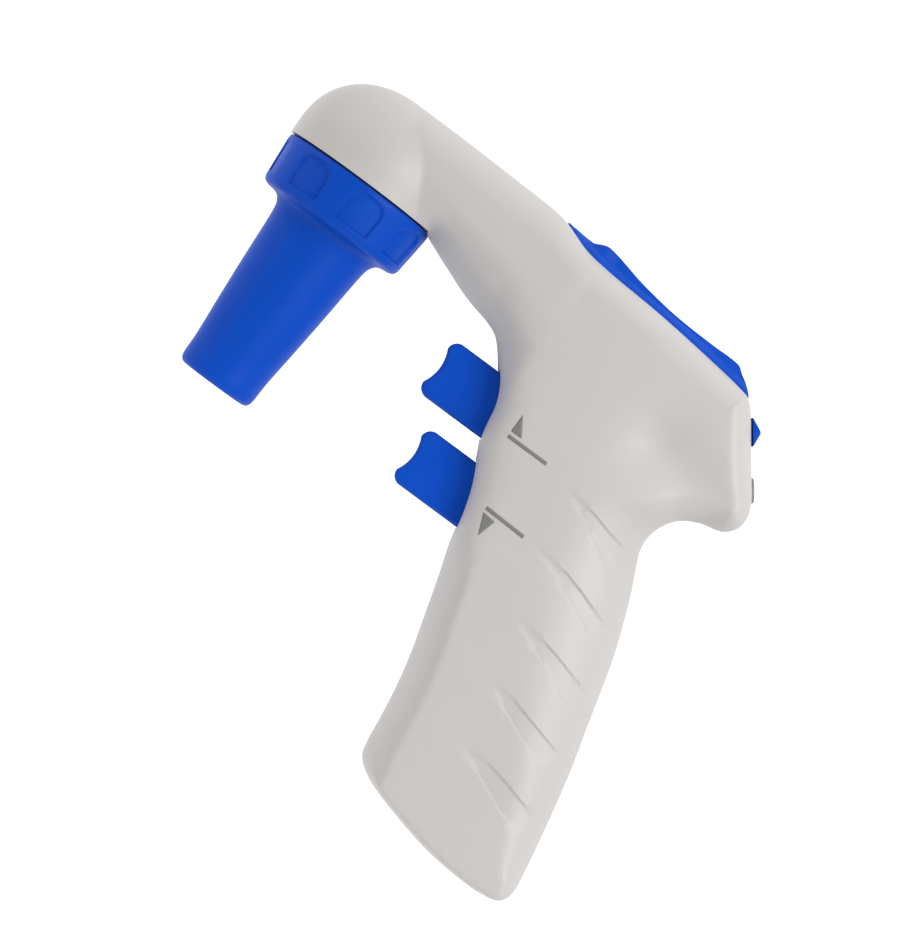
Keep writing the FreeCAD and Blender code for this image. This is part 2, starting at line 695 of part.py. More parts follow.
def make_pump():
    level = D["motor_level"]
    start = 64.0
    end = start + D["motor_length"]
    can = rod("can_body", "Dims.motor_radius", "Dims.motor_length", MOTOR_AT, BACK)
    nub = rod("can_nub", 3.0, 1.9, (62.1, 0, "Dims.motor_level"), BACK)
    way = rod("can_bore", "Dims.shaft_radius + 0.05", 40.0, (60.0, 0, "Dims.motor_level"), BACK)
    part("motor_can", cut("motor_can_solid", fuse("can", can, nub), way))
    bell = rod("bell_body", 9.4, 2.8, (end, 0, "Dims.motor_level"), BACK)
    way = rod("bell_bore", "Dims.shaft_radius + 0.05", 2.2, (end - 0.1, 0, "Dims.motor_level"), BACK)
    part("motor_end_bell", cut("motor_end_bell_solid", bell, way))
    tabs = [box(f"terminal_{i}", (end + 2.8, y - 1.2, level - 0.3), (end + 5.0, y + 1.2, level + 0.3))
            for i, y in enumerate((-5.6, 5.6))]
    part("motor_terminals", together("motor_terminals_all", *tabs))
    part("motor_shaft", rod("motor_shaft_rod", "Dims.shaft_radius", 34.4,
                            (53.2, 0, "Dims.motor_level"), BACK))
    hub = rod("eccentric_hub", 1.9, 6.6, (54.0, 0, "Dims.motor_level"), BACK)
    cam = rod("eccentric_cam", 3.4, 4.0, (55.0, 0, "Dims.motor_level - Dims.crank_offset"), BACK)
    way = rod("eccentric_bore", "Dims.shaft_radius", 9.0, (53.0, 0, "Dims.motor_level"), BACK)
    part("eccentric", cut("eccentric_solid", fuse("eccentric_body", hub, cam), way))

    sleeve = rod("motor_sleeve_outside", "Dims.motor_radius + 1.2", 5.0, (78, 0, "Dims.motor_level"), BACK)
    way = rod("motor_sleeve_way", "Dims.motor_radius + 0.01", 6.0, (77.5, 0, "Dims.motor_level"), BACK)
    part("motor_sleeve", cut("motor_sleeve_solid", sleeve, way))

    frame = box("frame_block", (50.4, -8.0, 47.4), (63.9, 8.0, 63.6))
    room = box("frame_room", (51.9, -6.6, 47.0), (62.0, 6.6, 62.2))
    hole = rod("frame_hole", 3.05, 3.0, (61.5, 0, "Dims.motor_level"), BACK)
    mouth = rod("frame_mouth", 5.6, 3.0, (57.0, 0, 46.0))
    windows = box("frame_windows", (53.4, -9.0, 51.0), (60.6, 9.0, 60.6))
    part("pump_frame", cut("pump_frame_solid", frame, room, hole, mouth, windows))

    disc = rod("diaphragm_disc", 6.6, 1.2, (57.0, 0, 46.15))
    neck = rod("diaphragm_rod", 1.5, 4.0, (57.0, 0, 46.9))
    eye = rod("diaphragm_eye", 6.2, 2.6, (55.7, 0, "Dims.motor_level"), BACK)
    room = rod("diaphragm_eye_room", 5.0, 4.0, (55.0, 0, "Dims.motor_level"), BACK)
    part("diaphragm", cut("diaphragm_solid", fuse("diaphragm_body", disc, neck, eye), room))

    plate = box("pump_head_plate", (50.4, -7.4, 42.6), (63.6, 7.4, 46.1))
    cup = rod("pump_head_cup", 5.2, 1.1, (57.0, 0, 45.1))
    ports, ways = [], []
    for i, x in enumerate((54.8, 60.4)):
        ports.append(rod(f"pump_barb_{i}", "Dims.barb_radius", 2.4, (x, -7.4, 44.3), -ACROSS))
        ways.append(rod(f"pump_way_{i}", 0.7, 7.4, (x, -9.8, 44.3), ACROSS))
    part("pump_head", cut("pump_head_solid", fuse("pump_head_body", plate, *ports), cup, *ways))
    screws = []
    for i, (x, y) in enumerate(((53.8, 6.0), (61.8, 6.0), (53.8, -5.6), (61.8, -5.6))):
        screws.append(rod(f"pump_screw_{i}", 1.4, 1.0, (x, y, 41.55)))
    part("pump_screws", together("pump_screws_all", *screws))


# ---------------------------------------------------------------- battery

PACK_AT = (93.0, 0, -19.5)
TILT = FreeCAD.Rotation(ACROSS, D["cell_tilt"])


def make_battery():
    up = TILT.multVec(UP)
    centre = V(*PACK_AT)
    half = D["cell_length"] / 2
    for name, x, way in (("front", -7.5, 1), ("rear", 7.5, -1)):
        base = centre + TILT.multVec(V(x, 0, -half - 0.6 * way))
        can = rod(name + "_cell_can", "Dims.cell_radius", "Dims.cell_length", tuple(base), up)
        nub_at = centre + TILT.multVec(V(x, 0, (half - 0.6) * way if way > 0 else -half - 0.6))
        nub = rod(name + "_cell_nub", 2.7, 1.2, tuple(nub_at), up)
        part(name + "_cell", fuse(name + "_cell_solid", can, nub))
    low, high = -27.4, 27.4
    plates = [
        box("tray_floor", (-15.2, -8.8, low + 3.0), (15.2, -7.4, high), TILT, PACK_AT),
        box("tray_top", (-15.2, -8.0, high - 1.4), (15.2, 5.0, high), TILT, PACK_AT),
        box("tray_foot", (-11.6, -8.0, low + 0.3), (15.2, 5.0, low + 1.4), TILT, PACK_AT),
        box("tray_back", (-11.6, -8.8, low + 0.3), (15.2, -7.4, low + 3.0), TILT, PACK_AT),
    ]
    part("battery_tray", fuse("battery_tray_solid", *plates))
    tabs = [
        box("contact_top", (-12.0, -4.0, 25.55), (12.0, 4.0, 25.95), TILT, PACK_AT),
        box("contact_low_a", (-12.0, -4.0, -25.95), (-3.4, 4.0, -25.55), TILT, PACK_AT),
        box("contact_low_b", (3.4, -4.0, -25.95), (12.0, 4.0, -25.55), TILT, PACK_AT),
    ]
    part("battery_contacts", together("battery_contacts_all", *tabs))
    part("battery_leads", together(
        "battery_leads_all",
        lead("lead_red", [(84.5, 4.6, -44.2), (83.6, 8.5, -41.0), (79.0, 10.6, -22.0),
                          (77.5, 11.6, -2.0), (77.0, 11.9, 9.0), (77.0, 11.6, 13.0)], 0.55),
        lead("lead_black", [(99.0, 4.6, -40.9), (99.0, 8.8, -38.0), (93.0, 11.0, -20.0),
                            (83.0, 11.9, -2.0), (80.5, 12.1, 9.0), (80.5, 11.6, 13.0)], 0.55),
    ))
    part("motor_leads", together(
        "motor_leads_all",
        lead("motor_lead_a", [(91.2, 5.6, 55.6), (91.6, 7.4, 52.0), (91.6, 9.6, 46.0),
                              (90.4, 11.4, 40.4), (88.0, 12.0, 37.4), (85.6, 11.4, 36.4)], 0.5),
        lead("motor_lead_b", [(91.2, -5.6, 55.6), (92.4, -3.0, 50.0), (92.8, 4.6, 44.5),
                              (91.6, 9.4, 39.6), (88.6, 11.8, 35.6), (85.4, 11.4, 33.6)], 0.5),
    ))


# ---------------------------------------------------------------- hoses

def make_hoses():
    nose, suction, pressure = PORTS["nose"], PORTS["suction"], PORTS["pressure"]
    part("nose_hose", hose("nose_hose_tube", [
        (0, 0, 60.0), (0, 0, 71.0), (26.0, -6.1, 68.0), (43.0, -9.1, 61.8), (57.0, -10.8, 52.5),
        (75.0, -11.8, nose[1]), (75.0, -7.3, nose[1])], (4.8, 20.0, 20.0, 20.0, 2.6)))
    part("suction_hose", hose("suction_hose_tube", [
        (54.8, -7.6, 44.3), (54.8, -11.4, 44.3), (63.0, -11.2, 33.0), (70.5, -11.6, suction[1]),
        (70.5, -7.3, suction[1])], (2.2, 10.0, 2.4)))
    part("pressure_hose", hose("pressure_hose_tube", [
        (60.4, -7.6, 44.3), (60.4, -11.8, 44.3), (71.8, -11.7, 34.0), (78.6, -11.7, 23.6),
        (82.0, -11.8, pressure[1]), (82.0, -7.3, pressure[1])], (2.6, 10.0, 10.0, 2.6)))


# ---------------------------------------------------------------- build and export

cover = make_cover()
part("top_cover", cover)
make_halves(make_shell(cover))
make_housing_screws()
make_nose()
make_trigger("aspirate", 37.4, 58.7, D["aspirate_level"], 66.0)
make_trigger("dispense", 44.2, 65.3, D["dispense_level"], 73.0)
make_valve_block()
make_board()
make_rear()
make_pump()
make_battery()
make_hoses()
doc.recompute()

bad = [o.Name for o in doc.Objects if "Invalid" in o.State or "Error" in o.State]
bad += [n for n, o in PARTS.items() if o.Shape.isNull() or not o.Shape.isValid()]
if bad:
    raise RuntimeError(f"objects that failed: {bad}")

os.makedirs("parts", exist_ok=True)
for name, obj in PARTS.items():
    obj.Shape.exportStep(f"parts/{name}.step")
    print(name, len(obj.Shape.Solids), round(obj.Shape.Volume, 1))
print(len(PARTS), "parts")
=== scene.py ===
"""Motorized pipette controller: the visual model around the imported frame.

Shapes are worked out in millimetres in the row frame (origin at the pipette opening, +Z up
the nose's axis, +X to the handle, +Y across the grip) and scaled to metres at the end.
"""
import json
import math

import bmesh
import bpy
import numpy as np
from mathutils import Matrix, Vector
from mathutils.geometry import delaunay_2d_cdt
from mathutils.kdtree import KDTree


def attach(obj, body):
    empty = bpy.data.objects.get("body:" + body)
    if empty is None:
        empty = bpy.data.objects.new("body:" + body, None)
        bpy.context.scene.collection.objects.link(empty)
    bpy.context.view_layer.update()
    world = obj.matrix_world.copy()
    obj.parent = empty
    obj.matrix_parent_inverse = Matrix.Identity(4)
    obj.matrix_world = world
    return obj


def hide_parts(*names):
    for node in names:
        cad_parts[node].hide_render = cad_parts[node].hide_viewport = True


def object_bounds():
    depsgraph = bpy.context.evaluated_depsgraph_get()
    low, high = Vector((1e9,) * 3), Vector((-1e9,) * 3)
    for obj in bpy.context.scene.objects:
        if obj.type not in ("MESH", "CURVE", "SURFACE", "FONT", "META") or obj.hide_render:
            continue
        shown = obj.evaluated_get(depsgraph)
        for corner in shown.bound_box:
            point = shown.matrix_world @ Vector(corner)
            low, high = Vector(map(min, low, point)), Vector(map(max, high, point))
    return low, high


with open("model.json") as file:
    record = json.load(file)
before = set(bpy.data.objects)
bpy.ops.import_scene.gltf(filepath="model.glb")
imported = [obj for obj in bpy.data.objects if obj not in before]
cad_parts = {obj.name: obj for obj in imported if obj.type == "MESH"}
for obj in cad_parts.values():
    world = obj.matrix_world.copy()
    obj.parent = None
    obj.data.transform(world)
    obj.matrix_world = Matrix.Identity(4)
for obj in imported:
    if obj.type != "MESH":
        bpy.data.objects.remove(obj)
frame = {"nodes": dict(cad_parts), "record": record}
CAD_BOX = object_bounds()
MM = 0.001


# ---------------------------------------------------------------- materials

GRAIN_DEPTH = 0.00003  # height of the moulded grain, in metres
SOFT_COAT = 0.25       # roughness of a clear coat


def node_tree(name):
    """A new material with its node tree and its main shader."""
    mat = bpy.data.materials.new(name)
    mat.use_nodes = True
    tree = mat.node_tree
    return mat, tree, tree.nodes["Principled BSDF"]


def add(tree, kind, **values):
    """A new node; each value sets the input of that name, or else the node's own setting."""
    node = tree.nodes.new(kind)
    for key, value in values.items():
        if key in node.inputs:
            node.inputs[key].default_value = value
        else:
            setattr(node, key, value)
    return node


def noise(tree, scale, detail=3.0, rough=0.55, stretch=None):
    """Noise in object space, scale in cycles per metre."""
    coords = add(tree, "ShaderNodeTexCoord")
    out = coords.outputs["Object"]
    if stretch:
        mapping = add(tree, "ShaderNodeMapping")
        mapping.inputs["Scale"].default_value = stretch
        tree.links.new(out, mapping.inputs["Vector"])
        out = mapping.outputs["Vector"]
    node = add(tree, "ShaderNodeTexNoise", Scale=scale, Detail=detail, Roughness=rough)
    tree.links.new(out, node.inputs["Vector"])
    return node.outputs["Fac"]


def spread(tree, fac, low, high, start=0.3, end=0.7):
    """Maps a value between start and end to one between low and high."""
    node = add(tree, "ShaderNodeMapRange")
    node.inputs["From Min"].default_value = start
    node.inputs["From Max"].default_value = end
    node.inputs["To Min"].default_value = low
    node.inputs["To Max"].default_value = high
    tree.links.new(fac, node.inputs["Value"])
    return node.outputs["Result"]


def tint(tree, fac, dark, light):
    """A colour between dark and light, by the value fac."""
    ramp = add(tree, "ShaderNodeValToRGB")
    ramp.color_ramp.elements[0].position = 0.3
    ramp.color_ramp.elements[1].position = 0.7
    ramp.color_ramp.elements[0].color = (*dark, 1)
    ramp.color_ramp.elements[1].color = (*light, 1)
    tree.links.new(fac, ramp.inputs["Fac"])
    return ramp.outputs["Color"]


def bumped(tree, shader, fac, strength, distance):
    """Raises the surface by fac."""
    bump = add(tree, "ShaderNodeBump", Strength=strength, Distance=distance)
    tree.links.new(fac, bump.inputs["Height"])
    tree.links.new(bump.outputs["Normal"], shader.inputs["Normal"])


def plastic(name, colour, vary, rough, grain, strength=0.35, coat=0.0, sub=0.0, specular=0.5):
    """Moulded plastic or rubber: a fine spark-eroded grain and a faint drift of colour."""
    mat, tree, shader = node_tree(name)
    dark = [c * (1 - vary) for c in colour]
    light = [min(1.0, c * (1 + vary)) for c in colour]
    drift = noise(tree, 28.0, 2.0)
    tree.links.new(tint(tree, drift, dark, light), shader.inputs["Base Color"])
    fine = noise(tree, grain, 2.0, 0.6)
    tree.links.new(spread(tree, fine, *rough), shader.inputs["Roughness"])
    bumped(tree, shader, fine, strength, GRAIN_DEPTH)
    shader.inputs["Specular IOR Level"].default_value = specular
    if coat:
        shader.inputs["Coat Weight"].default_value = coat
        shader.inputs["Coat Roughness"].default_value = SOFT_COAT
    if sub:
        shader.inputs["Subsurface Weight"].default_value = sub
        shader.inputs["Subsurface Radius"].default_value = (0.004, 0.003, 0.002)
        shader.inputs["Subsurface Scale"].default_value = 0.4
    return mat


def metal(name, colour, rough=(0.22, 0.38), stretch=(1.0, 1.0, 1.0), scale=900.0):
    """Machined or drawn metal with fine marks along one direction."""
    mat, tree, shader = node_tree(name)
    marks = noise(tree, scale, 3.0, 0.6, stretch)
    dark = [c * 0.88 for c in colour]
    tree.links.new(tint(tree, marks, dark, colour), shader.inputs["Base Color"])
    tree.links.new(spread(tree, marks, *rough), shader.inputs["Roughness"])
    bumped(tree, shader, marks, 0.25, 0.00002)
    shader.inputs["Metallic"].default_value = 1.0
    return mat


SLEEVE_GREEN, SLEEVE_RING, SLEEVE_BARE = (0.012, 0.16, 0.07), (0.02, 0.02, 0.02), (0.55, 0.56, 0.56)
RING_FROM, BARE_FROM = 0.72, 0.80  # where the ring and the bare can start, as parts of the height
SLEEVE_ROUGH = (0.3, 0.4)


def banded(name, axis, low, high):
    """A battery sleeve between two heights along an axis: green, a dark ring, then the bare can."""
    mat, tree, shader = node_tree(name)
    coords = add(tree, "ShaderNodeTexCoord")
    dot = add(tree, "ShaderNodeVectorMath", operation="DOT_PRODUCT")
    tree.links.new(coords.outputs["Object"], dot.inputs[0])
    dot.inputs[1].default_value = axis
    ramp = add(tree, "ShaderNodeValToRGB")
    ramp.color_ramp.interpolation = "CONSTANT"
    height = spread(tree, dot.outputs["Value"], 0.0, 1.0, low, high)
    tree.links.new(height, ramp.inputs["Fac"])
    stops = ramp.color_ramp.elements
    stops[0].color = (*SLEEVE_GREEN, 1)
    stops[1].position = BARE_FROM
    stops[1].color = (*SLEEVE_BARE, 1)
    ring = stops.new(RING_FROM)
    ring.color = (*SLEEVE_RING, 1)
    tree.links.new(ramp.outputs["Color"], shader.inputs["Base Color"])
    fine = noise(tree, 400.0)
    tree.links.new(spread(tree, fine, *SLEEVE_ROUGH), shader.inputs["Roughness"])
    bumped(tree, shader, fine, 0.1, 0.00002)
    return mat


MATS = {
    "shell": plastic("shell_plastic", (0.47, 0.450, 0.435), 0.015, (0.46, 0.56), 2400.0, 0.30,
                     specular=0.45),
    "blue": plastic("blue_plastic", (0.0002, 0.058, 0.44), 0.04, (0.42, 0.52), 2400.0, 0.30,
                    specular=0.12),
    "silicone": plastic("silicone", (0.66, 0.67, 0.66), 0.03, (0.5, 0.62), 1500.0, 0.3, sub=0.3),
    "seal": plastic("seal_rubber", (0.022, 0.022, 0.023), 0.1, (0.6, 0.75), 1800.0),
    "white": plastic("white_plastic", (0.74, 0.74, 0.72), 0.02, (0.3, 0.4), 1800.0),
    "inner": plastic("inner_plastic", (0.13, 0.14, 0.15), 0.08, (0.45, 0.6), 1600.0),
    "black": plastic("black_plastic", (0.018, 0.018, 0.020), 0.1, (0.4, 0.55), 1800.0),
    "jack": plastic("jack_plastic", (0.20, 0.225, 0.20), 0.06, (0.4, 0.5), 1800.0),
    "board": plastic("board_lacquer", (0.012, 0.15, 0.055), 0.12, (0.25, 0.4), 1200.0, coat=0.4),
    "hose": plastic("hose_silicone", (0.58, 0.60, 0.58), 0.04, (0.35, 0.5), 900.0, sub=0.3),
    "wire": plastic("wire_sleeve", (0.42, 0.018, 0.018), 0.08, (0.35, 0.5), 1200.0),
    "print": plastic("printed_ink", (0.165, 0.165, 0.160), 0.04, (0.5, 0.6), 2400.0),
    "steel": metal("steel", (0.62, 0.62, 0.63)),
    "spring": metal("spring_steel", (0.55, 0.55, 0.56), (0.15, 0.28), scale=1600.0),
    "can": metal("drawn_can", (0.60, 0.60, 0.59), (0.25, 0.42), (0.05, 1.0, 1.0), 1500.0),
    "brass": metal("brass", (0.78, 0.57, 0.24)),
    "cell": banded("cell_sleeve", (-0.2334, 0.0, 0.9724), -0.070, -0.0145),
}
NODE_MATERIAL = {"motor_can": "can", "front_cell": "cell", "rear_cell": "cell"}
for item in frame["record"]["subparts"]:
    name, slot = item["node"], item["material_slot"]
    obj = frame["nodes"][name]
    mat = MATS[NODE_MATERIAL.get(name, slot)]
    obj.data.materials.clear()
    obj.data.materials.append(mat)


# ---------------------------------------------------------------- mesh helpers

MERGE = 0.000004  # points nearer than this, in metres, are one


def mesh_object(name, verts, faces, mat, sharp=None):
    """A new mesh object; verts in millimetres."""
    mesh = bpy.data.meshes.new(name)
    mesh.from_pydata([tuple(c * MM for c in v) for v in verts], [], [list(f) for f in faces])
    mesh.validate()
    mesh.update()
    obj = bpy.data.objects.new(name, mesh)
    bpy.context.scene.collection.objects.link(obj)
    mesh.materials.append(mat)
    finish_mesh(mesh, sharp)
    return obj


def finish_mesh(mesh, sharp=None):
    """Merges double points, turns faces outward and smooths them; edges over sharp degrees stay crisp."""
    bm = bmesh.new()
    bm.from_mesh(mesh)
    bmesh.ops.remove_doubles(bm, verts=bm.verts, dist=MERGE)
    bmesh.ops.recalc_face_normals(bm, faces=bm.faces)
    for face in bm.faces:
        face.smooth = True
    if sharp:
        for edge in bm.edges:
            if len(edge.link_faces) == 2:
                edge.smooth = edge.calc_face_angle(0) < math.radians(sharp)
    bm.to_mesh(mesh)
    bm.free()


def apply_modifiers(obj):
    """Makes the result of the object's modifiers its mesh."""
    bpy.context.view_layer.update()
    graph = bpy.context.evaluated_depsgraph_get()
    done = bpy.data.meshes.new_from_object(obj.evaluated_get(graph))
    old = obj.data
    obj.modifiers.clear()
    obj.data = done
    bpy.data.meshes.remove(old)


def discard(obj):
    """Removes an object and its mesh."""
    mesh = obj.data
    bpy.data.objects.remove(obj)
    bpy.data.meshes.remove(mesh)


def join_in(obj, *others):
    """Adds the others' meshes to obj as loose parts."""
    bm = bmesh.new()
    bm.from_mesh(obj.data)
    for other in others:
        bm.from_mesh(other.data)
        discard(other)
    bm.to_mesh(obj.data)
    bm.free()


def cutter_box(low, high, turn=None, at=None):
    """A box to cut with; with turn and at it is in that local frame."""
    corners = [Vector((x, y, z)) for x in (low[0], high[0]) for y in (low[1], high[1])
               for z in (low[2], high[2])]
    if turn is not None:
        corners = [turn @ c + Vector(at) for c in corners]
    faces = [(0, 1, 3, 2), (4, 6, 7, 5), (0, 4, 5, 1), (2, 3, 7, 6), (0, 2, 6, 4), (1, 5, 7, 3)]
    return mesh_object("cutter", corners, faces, MATS["shell"])


def quads(rings, steps, wrap=False):
    """Faces between neighbouring rings of points; wrap joins the last ring to the first."""
    faces = []
    for i in range(rings if wrap else rings - 1):
        j = (i + 1) % rings
        for k in range(steps):
            n = (k + 1) % steps
            faces.append((i * steps + k, i * steps + n, j * steps + n, j * steps + k))
    return faces


def caps(rings, steps):
    """The end faces of a tube of rings."""
    first = list(range(steps))
    last = [(rings - 1) * steps + k for k in first]
    return [first[::-1], last]


def rings_tube(name, centres, radii, axis, mat, steps=48, closed=False, sharp=None):
    """A surface through circles of the given radii about an axis, capped unless closed into a ring."""
    axis = Vector(axis).normalized()
    side = axis.orthogonal().normalized()
    up = axis.cross(side)
    verts = []
    for c, r in zip(centres, radii):
        for k in range(steps):
            a = 2 * math.pi * k / steps
            verts.append(Vector(c) + (side * math.cos(a) + up * math.sin(a)) * r)
    faces = quads(len(centres), steps, closed)
    if not closed:
        faces += caps(len(centres), steps)
    return mesh_object(name, verts, faces, mat, sharp)


def subtract(obj, *cutters):
    """Cuts the cutters out of obj and removes them."""
    for tool in cutters:
        mod = obj.modifiers.new("cut", "BOOLEAN")
        mod.operation = "DIFFERENCE"
        mod.solver = "EXACT"
        mod.object = tool
    apply_modifiers(obj)
    for tool in cutters:
        discard(tool)


def own(obj, body, slot, *nodes):
    """Hangs the object under its body and hides the nodes it stands in for; the slot argument is not
    used.
    """
    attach(obj, body)
    if nodes:
        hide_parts(*nodes)


# ---------------------------------------------------------------- housing outline

DOME_R, DOME_MID, DOME_TALL, DOME_POWER = 19.5, 59.0, 17.4, 2.2
DOME_TAPER, TAPER_TALL = 0.03, 5  # the dome narrows a little towards its rim
RIM = 54.9            # height of the dome's lower rim, just over the collar
RIM_END = 18.55       # where the rim meets the arm's underside
SEAM = 0.04           # half of the parting line between the two shells

# (x, z, edge rounding) from the top of the dome round the arm, horn, handle and back
EDGE = [
    (0.0, 76.4, 8.5), (10.0, 76.35, 8.5), (21.0, 76.15, 8.5), (33.0, 75.8, 8.5), (40.0, 75.45, 8.0),
    (44.0, 74.4, 7.0), (49.0, 72.7, 6.5), (56.0, 71.8, 6.5), (71.0, 70.9, 6.5), (86.0, 69.4, 6.5),
    (94.5, 68.3, 6.0), (97.3, 67.6, 5.0), (99.0, 66.2, 5.0), (101.0, 63.8, 5.5), (105.0, 58.5, 6.0),
    (109.0, 53.2, 6.0), (111.5, 49.8, 5.5), (113.0, 46.4, 5.0), (112.8, 42.9, 5.0),
    (110.6, 40.4, 5.5), (105.4, 38.9, 6.5), (101.4, 36.6, 7.5), (98.9, 33.0, 8.5),
    (98.0, 29.0, 15.0), (98.4, 26.0, 18.0), (99.9, 22.6, 20.0), (102.2, 17.8, 21.0),
    (105.0, 11.0, 21.0), (107.9, 3.0, 20.0), (110.2, -5.0, 19.0), (112.4, -13.0, 17.0),
    (114.7, -21.0, 15.0), (116.6, -29.0, 12.0), (118.3, -37.0, 10.0), (119.8, -45.0, 7.0),
    (120.6, -50.2, 4.0), (120.2, -53.0, 3.0), (118.4, -54.9, 2.4), (113.8, -55.8, 2.2),
    (105.0, -55.7, 2.2), (97.0, -54.7, 2.2), (89.0, -52.9, 2.2), (82.0, -50.9, 2.2),
    (77.9, -49.1, 2.6), (75.6, -47.0, 3.2), (74.7, -44.0, 4.0), (73.9, -38.0, 4.5),
    (72.6, -30.0, 4.5), (70.6, -21.5, 4.5), (68.2, -13.5, 4.5), (65.6, -5.0, 5.0),
    (63.1, 2.7, 8.0), (61.5, 9.5, 11.0), (59.5, 15.5, 12.0), (56.9, 20.8, 12.0), (54.9, 25.0, 12.0),
    (54.0, 28.6, 12.0), (53.2, 32.6, 12.0), (51.5, 36.4, 11.5), (48.9, 39.8, 11.0),
    (46.3, 43.1, 9.5), (43.8, 45.5, 6.0), (40.5, 46.8, 6.0), (36.5, 47.7, 6.0), (32.5, 48.8, 6.0),
    (28.0, 50.5, 6.0), (23.5, 52.2, 5.5), (19.2, 54.0, 5.0),
]


def catmull(points, spacing):
    """A centripetal Catmull-Rom curve through points, sampled about evenly."""
    pts = np.array(points, float)
    ext = np.vstack([2 * pts[0] - pts[1], pts, 2 * pts[-1] - pts[-2]])
    out = []
    for i in range(1, len(ext) - 2):
        p0, p1, p2, p3 = ext[i - 1:i + 3]
        t = [0.0]
        for a, b in ((p0, p1), (p1, p2), (p2, p3)):
            t.append(t[-1] + max(np.linalg.norm(b[:2] - a[:2]), 1e-6) ** 0.5)
        n = max(2, int(round(np.linalg.norm(p2[:2] - p1[:2]) / spacing)))
        for k in range(n):
            u = t[1] + (t[2] - t[1]) * k / n
            a1 = (t[1] - u) / (t[1] - t[0]) * p0 + (u - t[0]) / (t[1] - t[0]) * p1
            a2 = (t[2] - u) / (t[2] - t[1]) * p1 + (u - t[1]) / (t[2] - t[1]) * p2
            a3 = (t[3] - u) / (t[3] - t[2]) * p2 + (u - t[2]) / (t[3] - t[2]) * p3
            b1 = (t[2] - u) / (t[2] - t[0]) * a1 + (u - t[0]) / (t[2] - t[0]) * a2
            b2 = (t[3] - u) / (t[3] - t[1]) * a2 + (u - t[1]) / (t[3] - t[1]) * a3
            out.append((t[2] - u) / (t[2] - t[1]) * b1 + (u - t[1]) / (t[2] - t[1]) * b2)
    out.append(pts[-1])
    return np.array(out)


def dome_radius(z):
    """The dome's radius at a height."""
    up = np.clip((np.asarray(z, float) - DOME_MID) / DOME_TALL, 0, 1)
    wide = DOME_R - DOME_TAPER * np.clip(DOME_MID - z, 0, TAPER_TALL)
    return wide * (1 - up ** DOME_POWER) ** (1 / DOME_POWER)


def dome_edge(spacing):
    """The dome's silhouette from its left rim to its top."""
    angles = np.linspace(0, math.pi / 2, 61)
    x = -DOME_R * np.cos(angles) ** (2 / DOME_POWER)
    z = DOME_MID + DOME_TALL * np.sin(angles) ** (2 / DOME_POWER)
    rise = np.arange(RIM, DOME_MID, spacing)
    low = np.column_stack([-dome_radius(rise), rise])
    return np.vstack([low, np.column_stack([x, z])[:-1]])


def resample(points, spacing):
    """The same curve with evenly spaced points."""
    steps = np.linalg.norm(np.diff(points[:, :2], axis=0), axis=1)
    total = np.concatenate([[0], np.cumsum(steps)])
    n = int(round(total[-1] / spacing))
    at = np.linspace(0, total[-1], n + 1)
    return np.column_stack([np.interp(at, total, points[:, k]) for k in range(points.shape[1])])


SPACING = 0.8         # between points of the shells' outline
FINE = 0.25           # between points of the curves that are resampled or measured from
arm_edge = resample(catmull(EDGE, FINE), SPACING)
dome_part = resample(dome_edge(FINE), SPACING)


def search_tree(points):
    """A tree that finds the nearest of some points of the side view."""
    tree = KDTree(len(points))
    for i, p in enumerate(points):
        tree.insert((p[0], p[1], 0), i)
    tree.balance()
    return tree


class Nearest:
    """The nearest point of a curve, with its distance and its place along the curve."""

    def __init__(self, points):
        self.points = points
        self.tree = search_tree(points)

    def __call__(self, x, z):
        _, i, d = self.tree.find((x, z, 0))
        for j in (i - 1, i):
            if 0 <= j < len(self.points) - 1:
                a, b = self.points[j][:2], self.points[j + 1][:2]
                ab = b - a
                u = min(1.0, max(0.0, float(np.dot((x, z) - a, ab) / max(np.dot(ab, ab), 1e-9))))
                q = a + ab * u
                d = min(d, math.hypot(x - q[0], z - q[1]))
        return d, i


fine_edge = resample(catmull(EDGE, 0.2), FINE)
near_edge = Nearest(fine_edge)


def edge_index(x, z):
    """Which point of the outline is nearest to (x, z)."""
    return int(np.argmin(np.hypot(fine_edge[:, 0] - x, fine_edge[:, 1] - z)))


# the handle's front edge, from its foot to the upper trigger
near_front = Nearest(fine_edge[edge_index(75.6, -47.4):edge_index(53.5, 32.6)])


# ---------------------------------------------------------------- housing width

# (x, z, half width) of the side surface
WIDTHS = [
    (0, 68, 16.4), (12, 66, 16.3), (25, 70, 16.0), (40, 66, 16.0), (55, 63, 16.2), (72, 60, 16.4),
    (88, 60, 16.2), (97, 58, 15.6), (104, 54, 15.2), (109, 48, 14.8), (110, 45, 14.6),
    (103, 42, 13.9), (97, 48, 14.8), (95, 41, 14.6), (88, 46, 15.8), (72, 45, 16.6), (58, 45, 16.2),
    (90, 30, 16.9), (80, 28, 17.0), (65, 28, 16.4), (95, 15, 17.0), (80, 12, 16.9), (69, 12, 16.2),
    (100, -2, 16.7), (84, -5, 16.6), (104, -20, 16.2), (88, -22, 16.1), (108, -38, 15.7),
    (90, -38, 15.6), (110, -50, 15.5), (92, -50, 15.4), (80, -42, 15.4),
]
WIDTH_SPAN = 9.0      # how far each of them reaches

# the soft valley between the palm's crest and the horn: its start, its way, its depth and its spread
VALLEY_START, VALLEY_WAY = np.array([88.0, 47.0]), np.array([18.0, -4.0])
VALLEY_DEPTH, VALLEY_SPREAD = 1.6, 4.6


def side_width(x, z):
    """The half width of the side surface, blended from WIDTHS."""
    points = np.array(WIDTHS, float)
    far = (x[:, None] - points[:, 0]) ** 2 + (z[:, None] - points[:, 1]) ** 2
    weight = np.exp(-far / (2 * WIDTH_SPAN ** 2)) + 1e-9 / (1 + far)
    return (weight * points[:, 2]).sum(1) / weight.sum(1)


